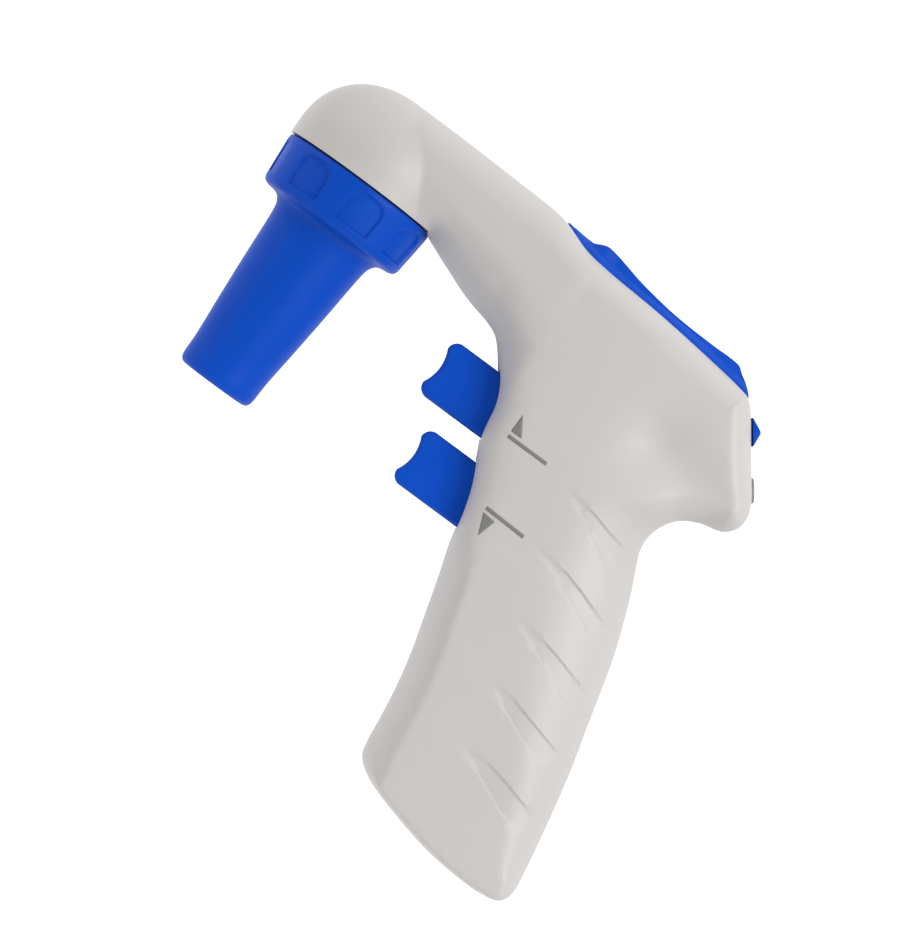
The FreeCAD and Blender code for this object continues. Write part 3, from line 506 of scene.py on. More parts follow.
def from_line(x, z, start, way):
    """How far points lie from the line that runs from start along way."""
    u = np.clip(((x - start[0]) * way[0] + (z - start[1]) * way[1]) / (way @ way), 0, 1)
    return np.hypot(x - start[0] - u * way[0], z - start[1] - u * way[1])


def hollow(x, z):
    """How deep the valley between the palm's crest and the horn is."""
    away = from_line(x, z, VALLEY_START, VALLEY_WAY)
    return VALLEY_DEPTH * np.exp(-away ** 2 / (2 * VALLEY_SPREAD ** 2))


def smooth_min(a, b, k):
    """The smaller of two values, with a fillet of size k where they cross."""
    h = np.clip(0.5 + 0.5 * (b - a) / k, 0, 1)
    return b * (1 - h) + a * h - k * h * (1 - h)


def smooth_max(a, b, k):
    """The larger of two values, with a fillet of size k where they cross."""
    return -smooth_min(-a, -b, k)


def ease(v, low, high):
    """Rises smoothly from 0 at low to 1 at high."""
    t = np.clip((v - low) / (high - low), 0, 1)
    return t * t * (3 - 2 * t)


def rounding(t, power):
    """A quarter of a superellipse: 0 at the edge, 1 from t = 1 on."""
    t = np.clip(t, 0, 1)
    return np.maximum(1 - (1 - t) ** power, 0) ** (1 / power)


# the line along the arm's side below which it turns under, and how steeply it does
RIDGE = [(-4, 63.0), (12, 62.2), (20, 61.6), (30, 59.8), (40, 57.4), (50, 54.8), (60, 51.0), (72, 45.0)]
UNDER = [(6, 0.35), (14, 0.5), (22, 0.78), (40, 0.72), (54, 0.0)]
RIDGE_FILLET, CREASE_FILLET = 1.5, 0.5
# the handle's front narrows towards its edge: by how much, and how wide the narrowing band is
FRONT_SLOPE, FRONT_BAND, FRONT_FILLET = 1.25, 6.2, 1.0
# the arm's blunt left end lies within the dome
ARM_END, ARM_END_TO, ARM_END_ROUND, ARM_END_POWER = -1.5, 8, 9.0, 3.0
DOME_TO, CREASE_TO = 19.6, 24      # how far along X the dome and its crease can reach
EDGE_POWER, BLUNT_POWER = 2.1, 1.5  # the edges' rounding, and what the blunt front adds to it
THINNEST = 0.3

# the grip's shallow finger marks: wedges that start at a tip and run out at the back
MARKS = [
    [(75.0, 27.8), (78.8, 27.7), (85.0, 26.7), (89.4, 25.6), (94.0, 24.8), (98.0, 24.0), (97.0, 20.6),
     (94.6, 17.9), (91.2, 19.9), (87.5, 21.8), (83.8, 23.7), (80.0, 25.2)],
    [(76.9, 13.3), (82.0, 13.4), (88.1, 12.7), (93.1, 11.3), (97.5, 9.8), (103.4, 8.1), (104.0, 5.4),
     (102.6, 3.2), (100.0, 4.3), (95.0, 6.6), (90.6, 8.5), (86.9, 10.0), (82.0, 11.7)],
    [(83.4, -2.0), (87.5, -1.4), (92.5, -2.1), (97.5, -3.2), (102.5, -4.6), (108.4, -5.9),
     (108.6, -9.0), (107.2, -11.6), (101.3, -9.4), (96.9, -7.5), (91.3, -5.3), (87.5, -3.6)],
    [(85.5, -15.4), (91.3, -15.7), (95.6, -16.4), (100.6, -17.7), (106.3, -19.2), (111.6, -20.7),
     (112.0, -23.6), (110.8, -26.2), (103.8, -23.8), (98.8, -21.7), (94.4, -19.8), (90.0, -17.5)],
    [(89.0, -30.9), (95.0, -30.4), (100.6, -31.0), (105.0, -32.0), (110.0, -33.3), (114.6, -34.7),
     (115.0, -37.6), (113.6, -40.2), (108.1, -38.7), (103.8, -36.9), (98.8, -34.8), (95.0, -33.1)],
]
MARK_DEPTH, MARK_EDGE = 0.55, 0.6  # how deep they are, and how wide their sloping sides are


def polygon_distance(x, z, polygon):
    """Signed distance to a polygon, positive inside."""
    pts = np.array(polygon, float)
    best = np.full(len(x), 1e9)
    inside = np.zeros(len(x), bool)
    for a, b in zip(pts, np.roll(pts, -1, axis=0)):
        ab = b - a
        best = np.minimum(best, from_line(x, z, a, ab))
        with np.errstate(divide="ignore", invalid="ignore"):
            crosses = (a[1] > z) != (b[1] > z)
            at = a[0] + (z - a[1]) * ab[0] / (ab[1] if ab[1] else 1e-9)
        inside ^= crosses & (x < at)
    return np.where(inside, best, -best)


def mark_depth(x, z, mark):
    """How deep a finger mark is: crisp along its sides, fading at its tip and its back."""
    tip = np.array(mark[0])
    back = (np.array(mark[len(mark) // 2 - 1]) + np.array(mark[len(mark) // 2 + 1])) / 2
    axis = back - tip
    along = ((x - tip[0]) * axis[0] + (z - tip[1]) * axis[1]) / (axis @ axis)
    deep = ease(along, -0.05, 0.45) * (1 - ease(along, 0.80, 1.04))
    return MARK_DEPTH * deep * ease(polygon_distance(x, z, mark), 0.0, MARK_EDGE)


def half_width(x, z):
    """How far the shell's outer surface stands from the middle plane at each (x, z)."""
    x, z = np.asarray(x, float), np.asarray(z, float)
    found = [near_edge(a, b) for a, b in zip(x, z)]
    d = np.array([f[0] for f in found])
    r = fine_edge[[f[1] for f in found], 2]
    w = side_width(x, z) - hollow(x, z)
    fronts = np.array([near_front(a, b)[0] for a, b in zip(x, z)])
    slope = FRONT_SLOPE * ease(z, 10, -4)
    body = smooth_min(w, w - slope * (FRONT_BAND - fronts), FRONT_FILLET)
    ridge = np.interp(x, *zip(*RIDGE))
    under = np.interp(x, *zip(*UNDER))
    body = smooth_min(body, body - under * (ridge - z), RIDGE_FILLET)
    # the front face between and round the triggers is blunt, so the windows lie within it
    blunt = ease(z, -6, 3) * ease(z, 50, 40) * ease(x, 84, 74)
    body = np.maximum(body, THINNEST) * rounding(d / r, EDGE_POWER + BLUNT_POWER * blunt)
    left = rounding((x - ARM_END) / ARM_END_ROUND, ARM_END_POWER) * (x > ARM_END)
    body = body * np.where(x < ARM_END_TO, left, 1.0)
    radius = dome_radius(z)
    dome = np.sqrt(np.maximum(radius ** 2 - x ** 2, 0)) * (x < DOME_TO)
    # the arm meets the dome in a crease with a small fillet
    total = np.where(x < CREASE_TO, smooth_max(body, dome, CREASE_FILLET), body)
    for mark in MARKS:
        total = total - mark_depth(x, z, mark)
    return np.maximum(total, 0.0)


# ---------------------------------------------------------------- housing mesh

CREASE = [(2.0, 75.3), (5.0, 71.6), (8.3, 66.0), (11.6, 60.5), (14.0, 56.6), (15.4, 55.2)]
BOSSES = [(24.0, 58.5), (40.0, 69.0), (93.0, 31.0), (68.8, -2.4), (79.4, -45.0), (115.4, -48.6)]
WAY, WAY_STEPS = 2.7, 48                # the screws' ways in through the right shell
WAY_SLACK = 0.012                       # a little more than the ways' short edges lie inside the circle
LAYERS = 10                             # rows of points that follow the edge's rounding
PITCH = 1.05                            # of the points that fill the rest of the side
FILL_LOW, FILL_HIGH = (-22, -60), (124, 80)
FROM_LINE, FROM_EDGE, FROM_LAYER = 0.33, 0.45, 0.55  # how near those points may come to others
DOME_ROUND = 8.0                        # how deep the rows reach in from the dome's edge
MARK_PITCH, CREASE_PITCH = 0.7, 0.6     # of the points along the crisp lines
RIM_POINTS = 46
TOUCHING = 1e-4                         # two points nearer than this are the same


def inside_loop(x, z, loop):
    """Which points lie inside a closed line."""
    inside = np.zeros(len(x), bool)
    for a, b in zip(loop, np.roll(loop, -1, axis=0)):
        crosses = (a[1] > z) != (b[1] > z)
        at = a[0] + (z - a[1]) * (b[0] - a[0]) / ((b[1] - a[1]) or 1e-9)
        inside ^= crosses & (x < at)
    return inside


def circle(x, z, radius):
    """Points round a circle of the side view."""
    turn = np.linspace(0, 2 * math.pi, WAY_STEPS + 1)[:-1]
    return np.column_stack([x + radius * np.cos(turn), z + radius * np.sin(turn)])


def shrunk(mark, inset):
    """A finger mark's outline moved inward, without the parts that would cross."""
    outline = np.array(mark)
    centre = np.mean(outline, axis=0)
    moved = []
    for a, b, c in zip(np.roll(outline, 1, axis=0), outline, np.roll(outline, -1, axis=0)):
        t = (c - a) / np.linalg.norm(c - a)
        n = np.array([-t[1], t[0]])
        if np.dot(n, centre - b) < 0:
            n = -n
        moved.append(b + n * inset)
    closed = np.array(moved + [moved[0]])
    gaps = polygon_distance(closed[:, 0], closed[:, 1], mark)
    return closed[gaps > inset * 0.6] if gaps.min() < 0 else closed


def layer_points(seam):
    """Points in rows that follow the edge, close together where its rounding is steep."""
    radii = np.concatenate([np.full(len(dome_part) - 1, DOME_ROUND), arm_edge[:, 2]])
    tangent = np.gradient(seam, axis=0)
    normal = np.column_stack([tangent[:, 1], -tangent[:, 0]])
    normal /= np.linalg.norm(normal, axis=1)[:, None]
    whole = Nearest(np.vstack([resample(dome_edge(0.2), FINE), fine_edge[:, :2]]))
    points = []
    for k in range(1, LAYERS + 1):
        angle = math.pi / 2 * k / LAYERS
        for p, n, r in zip(seam, normal, radii):
            step = r * (1 - math.cos(angle))
            q = p + n * step
            lowest = RIM + 0.25 if q[0] < RIM_END - 0.15 else FILL_LOW[1]
            if whole(*q)[0] > step * 0.93 - 0.01 and q[1] > lowest:
                points.append(q)
    return np.array(points)


def fill_points():
    """A grid of near equilateral triangles over the whole side."""
    points = []
    for i, z in enumerate(np.arange(FILL_LOW[1], FILL_HIGH[1], PITCH * 0.866)):
        for x in np.arange(FILL_LOW[0] + (i % 2) * PITCH / 2, FILL_HIGH[0], PITCH):
            points.append((x, z))
    return np.array(points)


def crisp_lines():
    """Points along the lines that stay crisp: the finger marks, the crease and the screws' ways."""
    lines = []
    for mark in MARKS:
        for closed in (np.array(mark + [mark[0]]), shrunk(mark, MARK_EDGE)):
            lines.append(resample(closed, MARK_PITCH)[:-1])
    lines.append(resample(np.array(CREASE), CREASE_PITCH))
    lines += [circle(x, z, WAY) for x, z in BOSSES]
    return np.vstack(lines)


def side_mesh():
    """Points and triangles of one side's surface, seen from the side."""
    seam = np.vstack([dome_part[:-1], arm_edge[:, :2]])
    left = -dome_radius(RIM)
    bottom = np.column_stack([np.linspace(RIM_END, left, RIM_POINTS), np.full(RIM_POINTS, RIM)])
    loop = np.vstack([seam, bottom[:-1]])

    layers, fill = layer_points(seam), fill_points()
    layers = layers[inside_loop(layers[:, 0], layers[:, 1], loop)]
    fill = fill[inside_loop(fill[:, 0], fill[:, 1], loop)]
    lines = crisp_lines()
    line_tree, layer_tree = search_tree(lines), search_tree(layers)
    near_loop = Nearest(np.vstack([loop, loop[:1]]))
    chosen = [(x, z) for x, z in layers if line_tree.find((x, z, 0))[2] >= FROM_LINE]
    for x, z in fill:
        if line_tree.find((x, z, 0))[2] < FROM_LINE or near_loop(x, z)[0] < FROM_EDGE:
            continue
        if layer_tree.find((x, z, 0))[2] >= FROM_LAYER:
            chosen.append((x, z))

    points = [tuple(p) for p in loop] + chosen + [tuple(p) for p in lines]
    edges = [(i, (i + 1) % len(loop)) for i in range(len(loop))]
    for k in range(1, len(BOSSES) + 1):
        start = len(points) - k * WAY_STEPS
        edges += [(start + i, start + (i + 1) % WAY_STEPS) for i in range(WAY_STEPS)]
    coords, _, tris, *_ = delaunay_2d_cdt([Vector(p) for p in points], edges, [], 1, 1e-5)
    coords = np.array([tuple(c) for c in coords])
    y = half_width(coords[:, 0], coords[:, 1])
    seam_tree = search_tree(seam)
    for i, (x, z) in enumerate(coords):
        if seam_tree.find((x, z, 0))[2] < TOUCHING:
            y[i] = 0.0
    return coords, y + SEAM, tris


REAR_ANGLE = math.radians(53.05)
REAR = Matrix.Rotation(REAR_ANGLE, 3, "Y")
SLIDER_AT = (102.6, 0.0, 61.7)
JACK_AT = (110.3, 0.0, 51.6)
WALL = 1.9
BOSS_R, PILOT_R, SCREW_SEAT = 3.4, 1.4, 6.0  # the bosses' radius and bore, and where a head seats
BOSS_GAP, BOSS_SUNK = 0.1, 0.3               # from a boss to the middle plane, and to the shell's outside


def windows():
    """What is cut out of the shells: the triggers' windows, the slider's slot and the jack's hole."""
    out = REAR @ Vector((0, 0, 1))
    jack = Vector(JACK_AT)
    centres = [tuple(jack + out * d) for d in (-5.0, 4.0)]
    return [
        cutter_box((40.0, -7.05, 24.85), (58.5, 7.05, 39.65)),
        cutter_box((50.0, -7.05, 5.8), (66.0, 7.05, 20.6)),
        cutter_box((-3.9, -1.9, -4.0), (3.9, 1.9, 4.0), REAR, SLIDER_AT),
        rings_tube("cutter", centres, (3.0, 3.0), out, MATS["shell"]),
    ]


def rim_floor(side):
    """Half of the head's floor: a flat ring round the nose's neck."""
    hole, tall = 15.6, 2.2
    profile = [(hole, RIM), (hole, RIM + tall), (DOME_R - 0.9, RIM + tall), (DOME_R - 0.35, RIM)]
    steps = 72
    start = 0.0 if side > 0 else math.pi
    margin = SEAM / 15  # the angle of half the parting line, near the hole
    verts, faces = [], []
    for k in range(steps + 1):
        a = start + margin + (math.pi - 2 * margin) * k / steps
        for r, z in profile:
            verts.append((r * math.cos(a), r * math.sin(a), z))
    n = len(profile)
    for k in range(steps):
        for i in range(n):
            j = (i + 1) % n
            faces.append((k * n + i, (k + 1) * n + i, (k + 1) * n + j, k * n + j))
    faces.append(list(range(n)))
    faces.append([steps * n + i for i in range(n)][::-1])
    return mesh_object("floor_ring", verts, faces, MATS["shell"], 30)


def boss(side, x, z):
    """A screw boss; on the right it carries on to the shell's surface, round the screw's way."""
    stout = min(BOSS_R, near_edge(x, z)[0] - 0.5)

    def surface(r):
        return half_width(*circle(x, z, r).T) - BOSS_SUNK

    if side > 0 and stout > WAY + 0.1:
        seat = np.minimum(SCREW_SEAT, surface(WAY))
        rings = [(PILOT_R, BOSS_GAP), (stout, BOSS_GAP), (stout, np.maximum(surface(stout), 3.0)),
                 (WAY, np.maximum(surface(WAY), 3.1)), (WAY, seat), (PILOT_R, seat)]
    else:
        top = min(SCREW_SEAT, surface(stout).min())
        rings = [(PILOT_R, BOSS_GAP), (stout, BOSS_GAP), (stout, top), (PILOT_R, top)]
    verts = [(across, side * y, up) for r, height in rings
             for (across, up), y in zip(circle(x, z, r), np.broadcast_to(height, WAY_STEPS))]
    faces = quads(len(rings), WAY_STEPS, True)
    if side < 0:
        faces = [face[::-1] for face in faces]
    return mesh_object("boss", verts, faces, MATS["shell"], 30)


def make_shell(name, side, coords, depth, tris):
    """One half of the housing: its skin given thickness, then its openings and bosses."""
    verts = [(x, side * y, z) for (x, z), y in zip(coords, depth)]
    if side > 0:
        middle = np.array([coords[list(t)].mean(axis=0) for t in tris])
        gap = np.min([np.hypot(*(middle - b).T) for b in np.array(BOSSES)], axis=0)
        tris = [t for t, g in zip(tris, gap) if g > WAY - WAY_SLACK]
    shell = mesh_object(name, verts, tris, MATS["shell"])
    bm = bmesh.new()
    bm.from_mesh(shell.data)
    bmesh.ops.delete(bm, geom=[v for v in bm.verts if not v.link_faces], context="VERTS")
    total = sum((f.normal.y * f.calc_area() for f in bm.faces), 0.0)
    if total * side < 0:
        bmesh.ops.reverse_faces(bm, faces=bm.faces)
    bm.to_mesh(shell.data)
    bm.free()
    thick = shell.modifiers.new("wall", "SOLIDIFY")
    thick.thickness = WALL * MM
    thick.offset = -1.0
    thick.use_even_offset = False
    subtract(shell, *windows())
    extras = [boss(side, x, z) for x, z in BOSSES]
    extras.append(rim_floor(side))
    finish_mesh(shell.data, 38)
    join_in(shell, *extras)
    own(shell, "housing", "shell", name.replace("shell", "housing"))


coords, depth, tris = side_mesh()
make_shell("shell_left", -1, coords, depth, tris)
make_shell("shell_right", 1, coords, depth, tris)


# ---------------------------------------------------------------- printed arrows

PRINT_LIFT, PRINT_THICK, PRINT_PITCH = 0.03, 0.05, 0.45


def surface_patch(name, outline):
    """A printed mark: a thin film that follows the left shell's side."""
    loop = resample(np.array(outline + [outline[0]], float), PRINT_PITCH)[:-1]
    low, high = loop.min(0), loop.max(0)
    grid = np.array([(x, z) for x in np.arange(low[0], high[0], PRINT_PITCH)
                     for z in np.arange(low[1], high[1], PRINT_PITCH)])
    gap = polygon_distance(grid[:, 0], grid[:, 1], outline)
    points = [tuple(p) for p in loop] + [tuple(p) for p in grid[gap > PRINT_PITCH / 2]]
    edges = [(i, (i + 1) % len(loop)) for i in range(len(loop))]
    flat, _, faces, *_ = delaunay_2d_cdt([Vector(p) for p in points], edges, [], 1, 1e-5)
    flat = np.array([tuple(c) for c in flat])
    y = half_width(flat[:, 0], flat[:, 1]) + SEAM
    verts = [(x, -(w + PRINT_LIFT), z) for (x, z), w in zip(flat, y)]
    obj = mesh_object(name, verts, faces, MATS["print"])
    film = obj.modifiers.new("film", "SOLIDIFY")
    film.thickness = PRINT_THICK * MM
    film.offset = 0.0
    apply_modifiers(obj)
    finish_mesh(obj.data)
    own(obj, "housing", "black")


surface_patch("up_arrow", [(59.4, 34.6), (59.4, 30.2), (62.3, 30.2)])
surface_patch("up_line", [(59.5, 29.45), (59.5, 28.6), (69.9, 28.6), (69.9, 29.45)])
surface_patch("down_line", [(65.0, 14.0), (65.0, 13.15), (75.3, 12.85), (75.3, 13.7)])
surface_patch("down_arrow", [(65.1, 12.45), (68.3, 12.2), (67.1, 7.6)])


# ---------------------------------------------------------------- nose cone

# (radius, z) of the outside, from the opening up
NOSE_OUT = [
    (6.2, -0.35), (7.9, -0.4), (8.8, -0.05), (9.35, 0.9), (9.5, 2.0), (9.62, 6.0), (10.5, 16.0),
    (11.4, 27.0), (12.05, 36.0), (12.3, 38.6), (12.7, 40.4), (13.7, 41.8), (15.2, 42.35),
    (16.6, 42.5), (17.6, 42.9), (18.15, 43.8), (18.3, 45.0), (18.75, 50.0), (19.0, 53.8),
    (18.9, 54.35), (18.4, 54.6),
]
# (radius, z) of the inside, from the collar down
NOSE_IN = [(15.5, 54.6), (15.5, 47.0), (14.0, 47.0), (14.0, 44.6), (11.0, 44.6), (11.0, 38.0),
           (8.25, 38.0), (8.25, 0.8), (6.2, 0.8)]
NOSE_STEPS = 512
COLLAR_LOW, COLLAR_HIGH, COLLAR_R = 44, 54, 19.0
PADS, PAD_FIRST = 8, math.radians(-90 + 16)
PAD_HALF, PAD_TOP, PAD_LOW, PAD_DEPTH = 4.7, 53.1, 44.9, 0.6
PAD_CORNER, PAD_EDGE = 3.4, 0.4


def pad_depth(angle, z):
    """The thumb pads: eight arched shallow recesses round the collar."""
    pitch = 2 * math.pi / PADS
    off = (angle - PAD_FIRST + pitch / 2) % pitch - pitch / 2
    across = abs(off) * COLLAR_R
    dx = across - (PAD_HALF - PAD_CORNER)
    dz = z - (PAD_TOP - PAD_CORNER)
    if dx > 0 and dz > 0:
        edge = PAD_CORNER - math.hypot(dx, dz)
    else:
        edge = min(PAD_HALF - across, PAD_TOP - z)
    edge = min(edge, z - PAD_LOW)
    return PAD_DEPTH * float(ease(np.array(edge), 0.0, PAD_EDGE))


def make_nose():
    """The nose cone with its collar, open at both ends."""
    smooth = resample(catmull([(z, r, 0) for r, z in NOSE_OUT], 0.2), 0.36)
    outer = [(r, z) for z, r, _ in smooth]
    rows = outer + NOSE_IN
    verts = []
    for i, (r, z) in enumerate(rows):
        for k in range(NOSE_STEPS):
            a = 2 * math.pi * k / NOSE_STEPS
            sunk = 0.0
            if i < len(outer) and COLLAR_LOW < z < COLLAR_HIGH:
                sunk = pad_depth(a, z)
            verts.append(((r - sunk) * math.cos(a), (r - sunk) * math.sin(a), z))
    nose = mesh_object("nose_body", verts, quads(len(rows), NOSE_STEPS, True), MATS["blue"], 40)
    own(nose, "nose", "blue", "nose_cone")


make_nose()


# ---------------------------------------------------------------- top cover

# (x, lower edge, top, largest half width)
COVER = [
    (42.3, 75.0, 75.25, 3.0), (45.0, 73.95, 75.05, 7.6), (48.0, 72.95, 74.95, 10.0),
    (49.6, 72.5, 75.0, 10.9), (51.0, 72.2, 75.7, 11.4), (52.6, 72.0, 76.25, 11.7),
    (54.5, 71.85, 76.1, 11.9), (58.0, 71.6, 75.4, 12.0), (64.0, 71.25, 74.1, 12.0),
    (71.0, 70.8, 73.05, 12.0), (77.0, 70.25, 72.6, 12.0), (84.0, 69.55, 72.5, 12.0),
    (90.0, 68.9, 72.5, 11.9), (91.8, 68.7, 72.2, 11.8), (93.3, 68.45, 71.1, 11.6),
    (95.0, 68.1, 69.95, 11.0), (96.6, 67.75, 68.5, 10.0), (97.4, 67.5, 67.7, 8.6),
]
# (x, z) of the skirt's upper edge
SKIRT = [
    (42.3, 75.2), (45.0, 74.9), (48.0, 74.7), (51.0, 74.1), (54.5, 73.6), (60.0, 73.1), (66.0, 72.75),
    (71.0, 72.45), (77.0, 72.1), (84.0, 71.35), (90.0, 70.7), (93.0, 70.4), (95.5, 69.6),
    (97.4, 67.7),
]
SKIRT_BOW, BOW_WAY = 0.35, 3.2      # how the skirt leans in
SADDLE_INSET, SADDLE_LEAN = 0.12, 0.22
SADDLE_ROUND, SADDLE_DISH = 0.7, 0.35


def cover_section(x, low, top, half):
    """One cross-section of the cover, from under its foot to the middle of its top.

    It is no wider than the shell is at the height of the foot, plus a small margin.
    """
    waist = min(float(np.interp(x, *zip(*SKIRT))), top - 0.02)
    tall = max(top - waist, 0.02)
    seat = float(half_width([x], [low])[0])
    half = min(half, max(seat + 0.6, 3.0) if seat > 1 else half)
    shape = [(0.0, low - 1.0), (half * 0.55, low - 1.0), (half - 0.35, low - 1.0), (half, low - 0.7)]
    bow = SKIRT_BOW * max(0.0, waist - low)
    for t in np.linspace(0, 1, 7):
        shape.append((half - bow * BOW_WAY * t ** 1.5, low + (waist - low) * t))
    inner = shape[-1][0] - SADDLE_INSET
    lean = SADDLE_LEAN * tall
    turn = min(SADDLE_ROUND, tall * 0.45)
    for t in np.linspace(0.15, 1, 5):
        shape.append((inner - lean * t, waist + (tall - turn) * t))
    edge = shape[-1][0]
    for s in np.radians(np.linspace(18, 90, 5)):
        shape.append((edge - turn * (1 - math.cos(s)), top - turn + turn * math.sin(s)))
    last = shape[-1][0]
    for t in np.linspace(0.15, 1, 8):
        dish = SADDLE_DISH * math.sin(math.pi / 2 * t) * (tall > 0.6)
        shape.append((last * (1 - t), top - dish))
    return shape


def make_cover():
    """A skirt round a raised saddle, seated on the back of the arm."""
    verts = []
    rows = resample(catmull(COVER, 0.3), 0.6)
    for row in rows:
        shape = cover_section(*row)
        ring = [(row[0], -y, z) for y, z in shape] + [(row[0], y, z) for y, z in shape[-2:0:-1]]
        verts += ring
    faces = quads(len(rows), len(ring))
    faces += [cap[::-1] for cap in caps(len(rows), len(ring))]
    cover = mesh_object("cover_saddle", verts, faces, MATS["blue"], 45)
    own(cover, "housing", "blue", "top_cover")


make_cover()


# ---------------------------------------------------------------- rear slider and jack

def rear(t, y, n, at):
    """A point given along the rear face, across it and out of it."""
    return tuple(REAR @ Vector((t, y, n)) + Vector(at))


def make_knob():
    """The slider's wedge-shaped thumb piece on a stem that runs in the slot."""
    side = [(-3.5, 0.12), (-3.2, 0.42), (-2.2, 0.95), (-1.0, 1.6), (-0.35, 1.9), (0.25, 1.85),
            (0.8, 1.5), (2.6, 0.45), (3.0, 0.12)]
    half = 4.6
    # along the knob's width: where a section stands and how large it is
    across = [(-1.0, 0.93), (-0.97, 0.985), (-0.90, 1.0), (-0.4, 1.0), (0.0, 1.0), (0.4, 1.0),
              (0.90, 1.0), (0.97, 0.985), (1.0, 0.93)]
    mid = (-0.2, 0.5)
    verts = []
    for a, size in across:
        for t, n in side:
            verts.append(rear(mid[0] + (t - mid[0]) * size, a * half, mid[1] + (n - mid[1]) * size,
                              SLIDER_AT))
    faces = quads(len(across), len(side)) + caps(len(across), len(side))
    knob = mesh_object("slider_knob", verts, faces, MATS["blue"])
    bevel = knob.modifiers.new("edges", "BEVEL")
    bevel.width = 0.18 * MM
    bevel.segments = 2
    bevel.limit_method = "ANGLE"
    bevel.angle_limit = math.radians(35)
    apply_modifiers(knob)
    finish_mesh(knob.data, 40)
    stem = cutter_box((-1.3, -1.5, -5.7), (1.3, 1.5, 0.2), REAR, SLIDER_AT)
    join_in(knob, stem)
    own(knob, "slider", "blue", "mode_slider")


def make_jack():
    """The charging jack: a short rounded rim round its bore, on its case."""
    deep = -8.6
    # (radius, height) points
    profile = [(1.75, deep), (1.75, 0.1), (1.95, 0.38), (2.2, 0.46), (2.6, 0.46), (2.8, 0.36),
               (2.88, 0.12), (2.9, -3.6), (1.85, -3.7), (1.85, deep)]
    out = REAR @ Vector((0, 0, 1))
    centres = [Vector(JACK_AT) + out * n for _, n in profile]
    rim = rings_tube("jack_rim", centres, [r for r, _ in profile], out, MATS["jack"], 56, True, 30)
    case = cutter_box((-3.6, -4.0, -9.6), (1.9, 4.0, -3.5), REAR, JACK_AT)
    bore_ends = [Vector(JACK_AT) + out * n for n in (deep, 2.0)]
    subtract(case, rings_tube("cutter", bore_ends, (1.8, 1.8), out, MATS["shell"], 40))
    finish_mesh(case.data, 30)
    case.data.materials.clear()
    case.data.materials.append(MATS["jack"])
    join_in(rim, case)
    own(rim, "housing", "jack", "charge_jack")


make_knob()
make_jack()


# ---------------------------------------------------------------- stage, light and camera

FLOOR_DROP, FLOOR_RADIUS = 0.20, 0.42    # in metres
WORLD_DIM, WORLD_BRIGHT = 0.22, 1.34
BRIGHT_SIDE = (0.10, 0.55, -0.83)        # in the picture's right, up and toward axes
# name, direction in the same axes, size in metres and power
LIGHTS = [("key", (0.70, -0.12, 0.66), 0.35, 4.2), ("top", (-0.45, 0.85, 0.30), 0.60, 1.6)]
LIGHT_DISTANCE = 0.75
CENTRE = Vector((0.0556, 0.0, 0.0174))   # what the camera looks at
DISTANCE = 0.80
ROLL = math.radians(36.5)                # the picture is turned against the row frame
FRAME_WIDTH = 0.2053                     # what the picture's width spans at CENTRE
SENSOR = 36.0


def paper(name, colour, rough):
    """The floor's matt white."""
    mat, tree, shader = node_tree(name)
    fac = noise(tree, 3.0)
    light = [min(1, c * 1.01) for c in colour]
    tree.links.new(tint(tree, fac, colour, light), shader.inputs["Base Color"])
    shader.inputs["Roughness"].default_value = rough
    return mat


def make_stage():
    """A round floor below the object."""
    bm = bmesh.new()
    bmesh.ops.create_circle(bm, cap_ends=True, segments=96, radius=FLOOR_RADIUS)
    mesh = bpy.data.meshes.new("floor")
    bm.to_mesh(mesh)
    bm.free()
    floor = bpy.data.objects.new("floor", mesh)
    floor.location = (0, 0, CAD_BOX[0][2] - FLOOR_DROP)
    bpy.context.scene.collection.objects.link(floor)
    mesh.materials.append(paper("floor_paper", (0.96, 0.96, 0.96), 0.9))


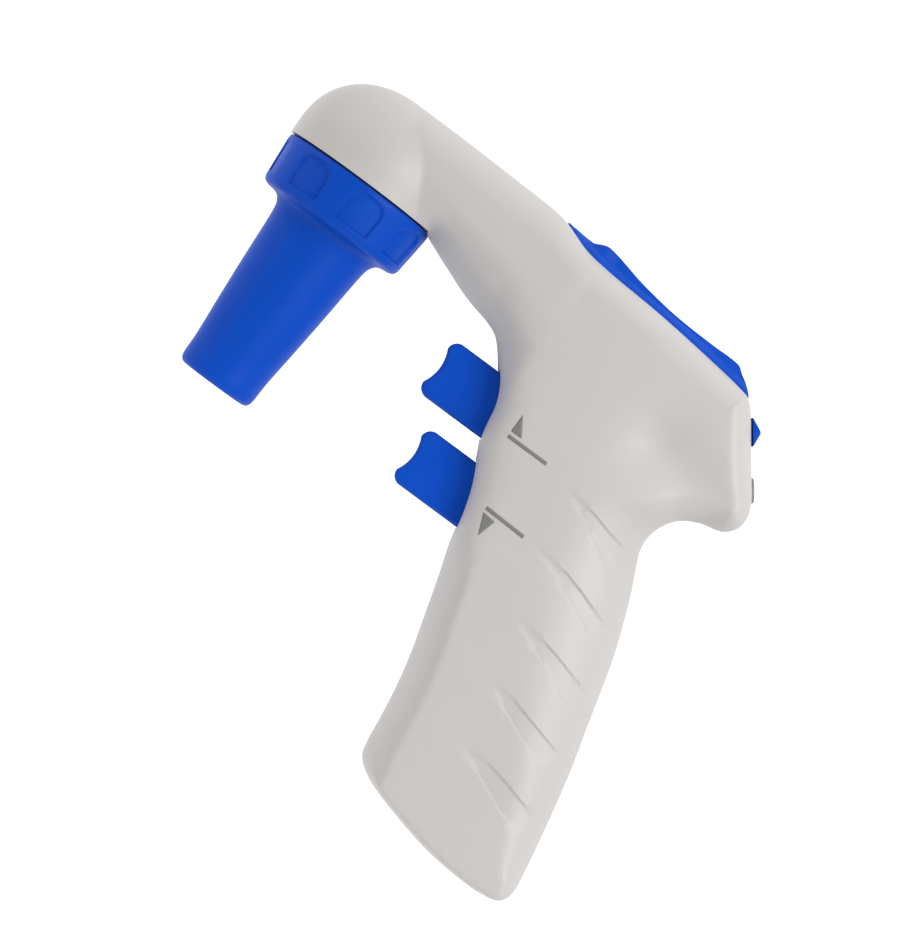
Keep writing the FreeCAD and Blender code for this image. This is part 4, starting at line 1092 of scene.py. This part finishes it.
def area(name, at, target, size, power):
    """A square white light at a place, turned to the target."""
    light = bpy.data.lights.new(name, "AREA")
    light.shape = "RECTANGLE"
    light.size = size
    light.size_y = size
    light.energy = power
    obj = bpy.data.objects.new(name, light)
    obj.location = at
    obj.rotation_euler = (Vector(target) - Vector(at)).to_track_quat("-Z", "Y").to_euler()
    bpy.context.scene.collection.objects.link(obj)


def picture_vector(right, up, toward):
    """A direction given in the picture's own right, up and toward-the-camera axes."""
    c, s = math.cos(ROLL), math.sin(ROLL)
    return Vector((right * c - up * s, -toward, right * s + up * c))


def make_lights():
    """A white tent, brighter behind the object and above it, with a key and a softer top light."""
    world = bpy.data.worlds.new("studio")
    bpy.context.scene.world = world
    world.use_nodes = True
    tree = world.node_tree
    back = tree.nodes["Background"]
    coords = add(tree, "ShaderNodeTexCoord")
    dot = add(tree, "ShaderNodeVectorMath", operation="DOT_PRODUCT")
    tree.links.new(coords.outputs["Generated"], dot.inputs[0])
    dot.inputs[1].default_value = picture_vector(*BRIGHT_SIDE).normalized()
    grey = spread(tree, dot.outputs["Value"], WORLD_DIM, WORLD_BRIGHT, -1.0, 1.0)
    tree.links.new(grey, back.inputs["Color"])
    back.inputs["Strength"].default_value = 1.0
    for name, direction, size, power in LIGHTS:
        at = CENTRE + picture_vector(*direction) * LIGHT_DISTANCE
        area(name, at, CENTRE, size, power)


def make_camera():
    """A long lens square to the side, rolled so the object stands as it is held."""
    data = bpy.data.cameras.new("camera")
    camera = bpy.data.objects.new("camera", data)
    bpy.context.scene.collection.objects.link(camera)
    data.sensor_width = SENSOR
    data.sensor_fit = "HORIZONTAL"
    data.lens = SENSOR * DISTANCE / FRAME_WIDTH
    data.clip_start = 0.01
    camera.location = CENTRE - Vector((0, DISTANCE, 0))
    right = picture_vector(1, 0, 0)
    up = picture_vector(0, 1, 0)
    toward = Vector((0, -1, 0))
    camera.rotation_mode = "QUATERNION"
    turn = Matrix((right, up, toward)).transposed()
    camera.rotation_quaternion = turn.to_quaternion()
    bpy.context.scene.camera = camera


bpy.context.scene.view_settings.view_transform = "Standard"
make_stage()
make_lights()
make_camera()
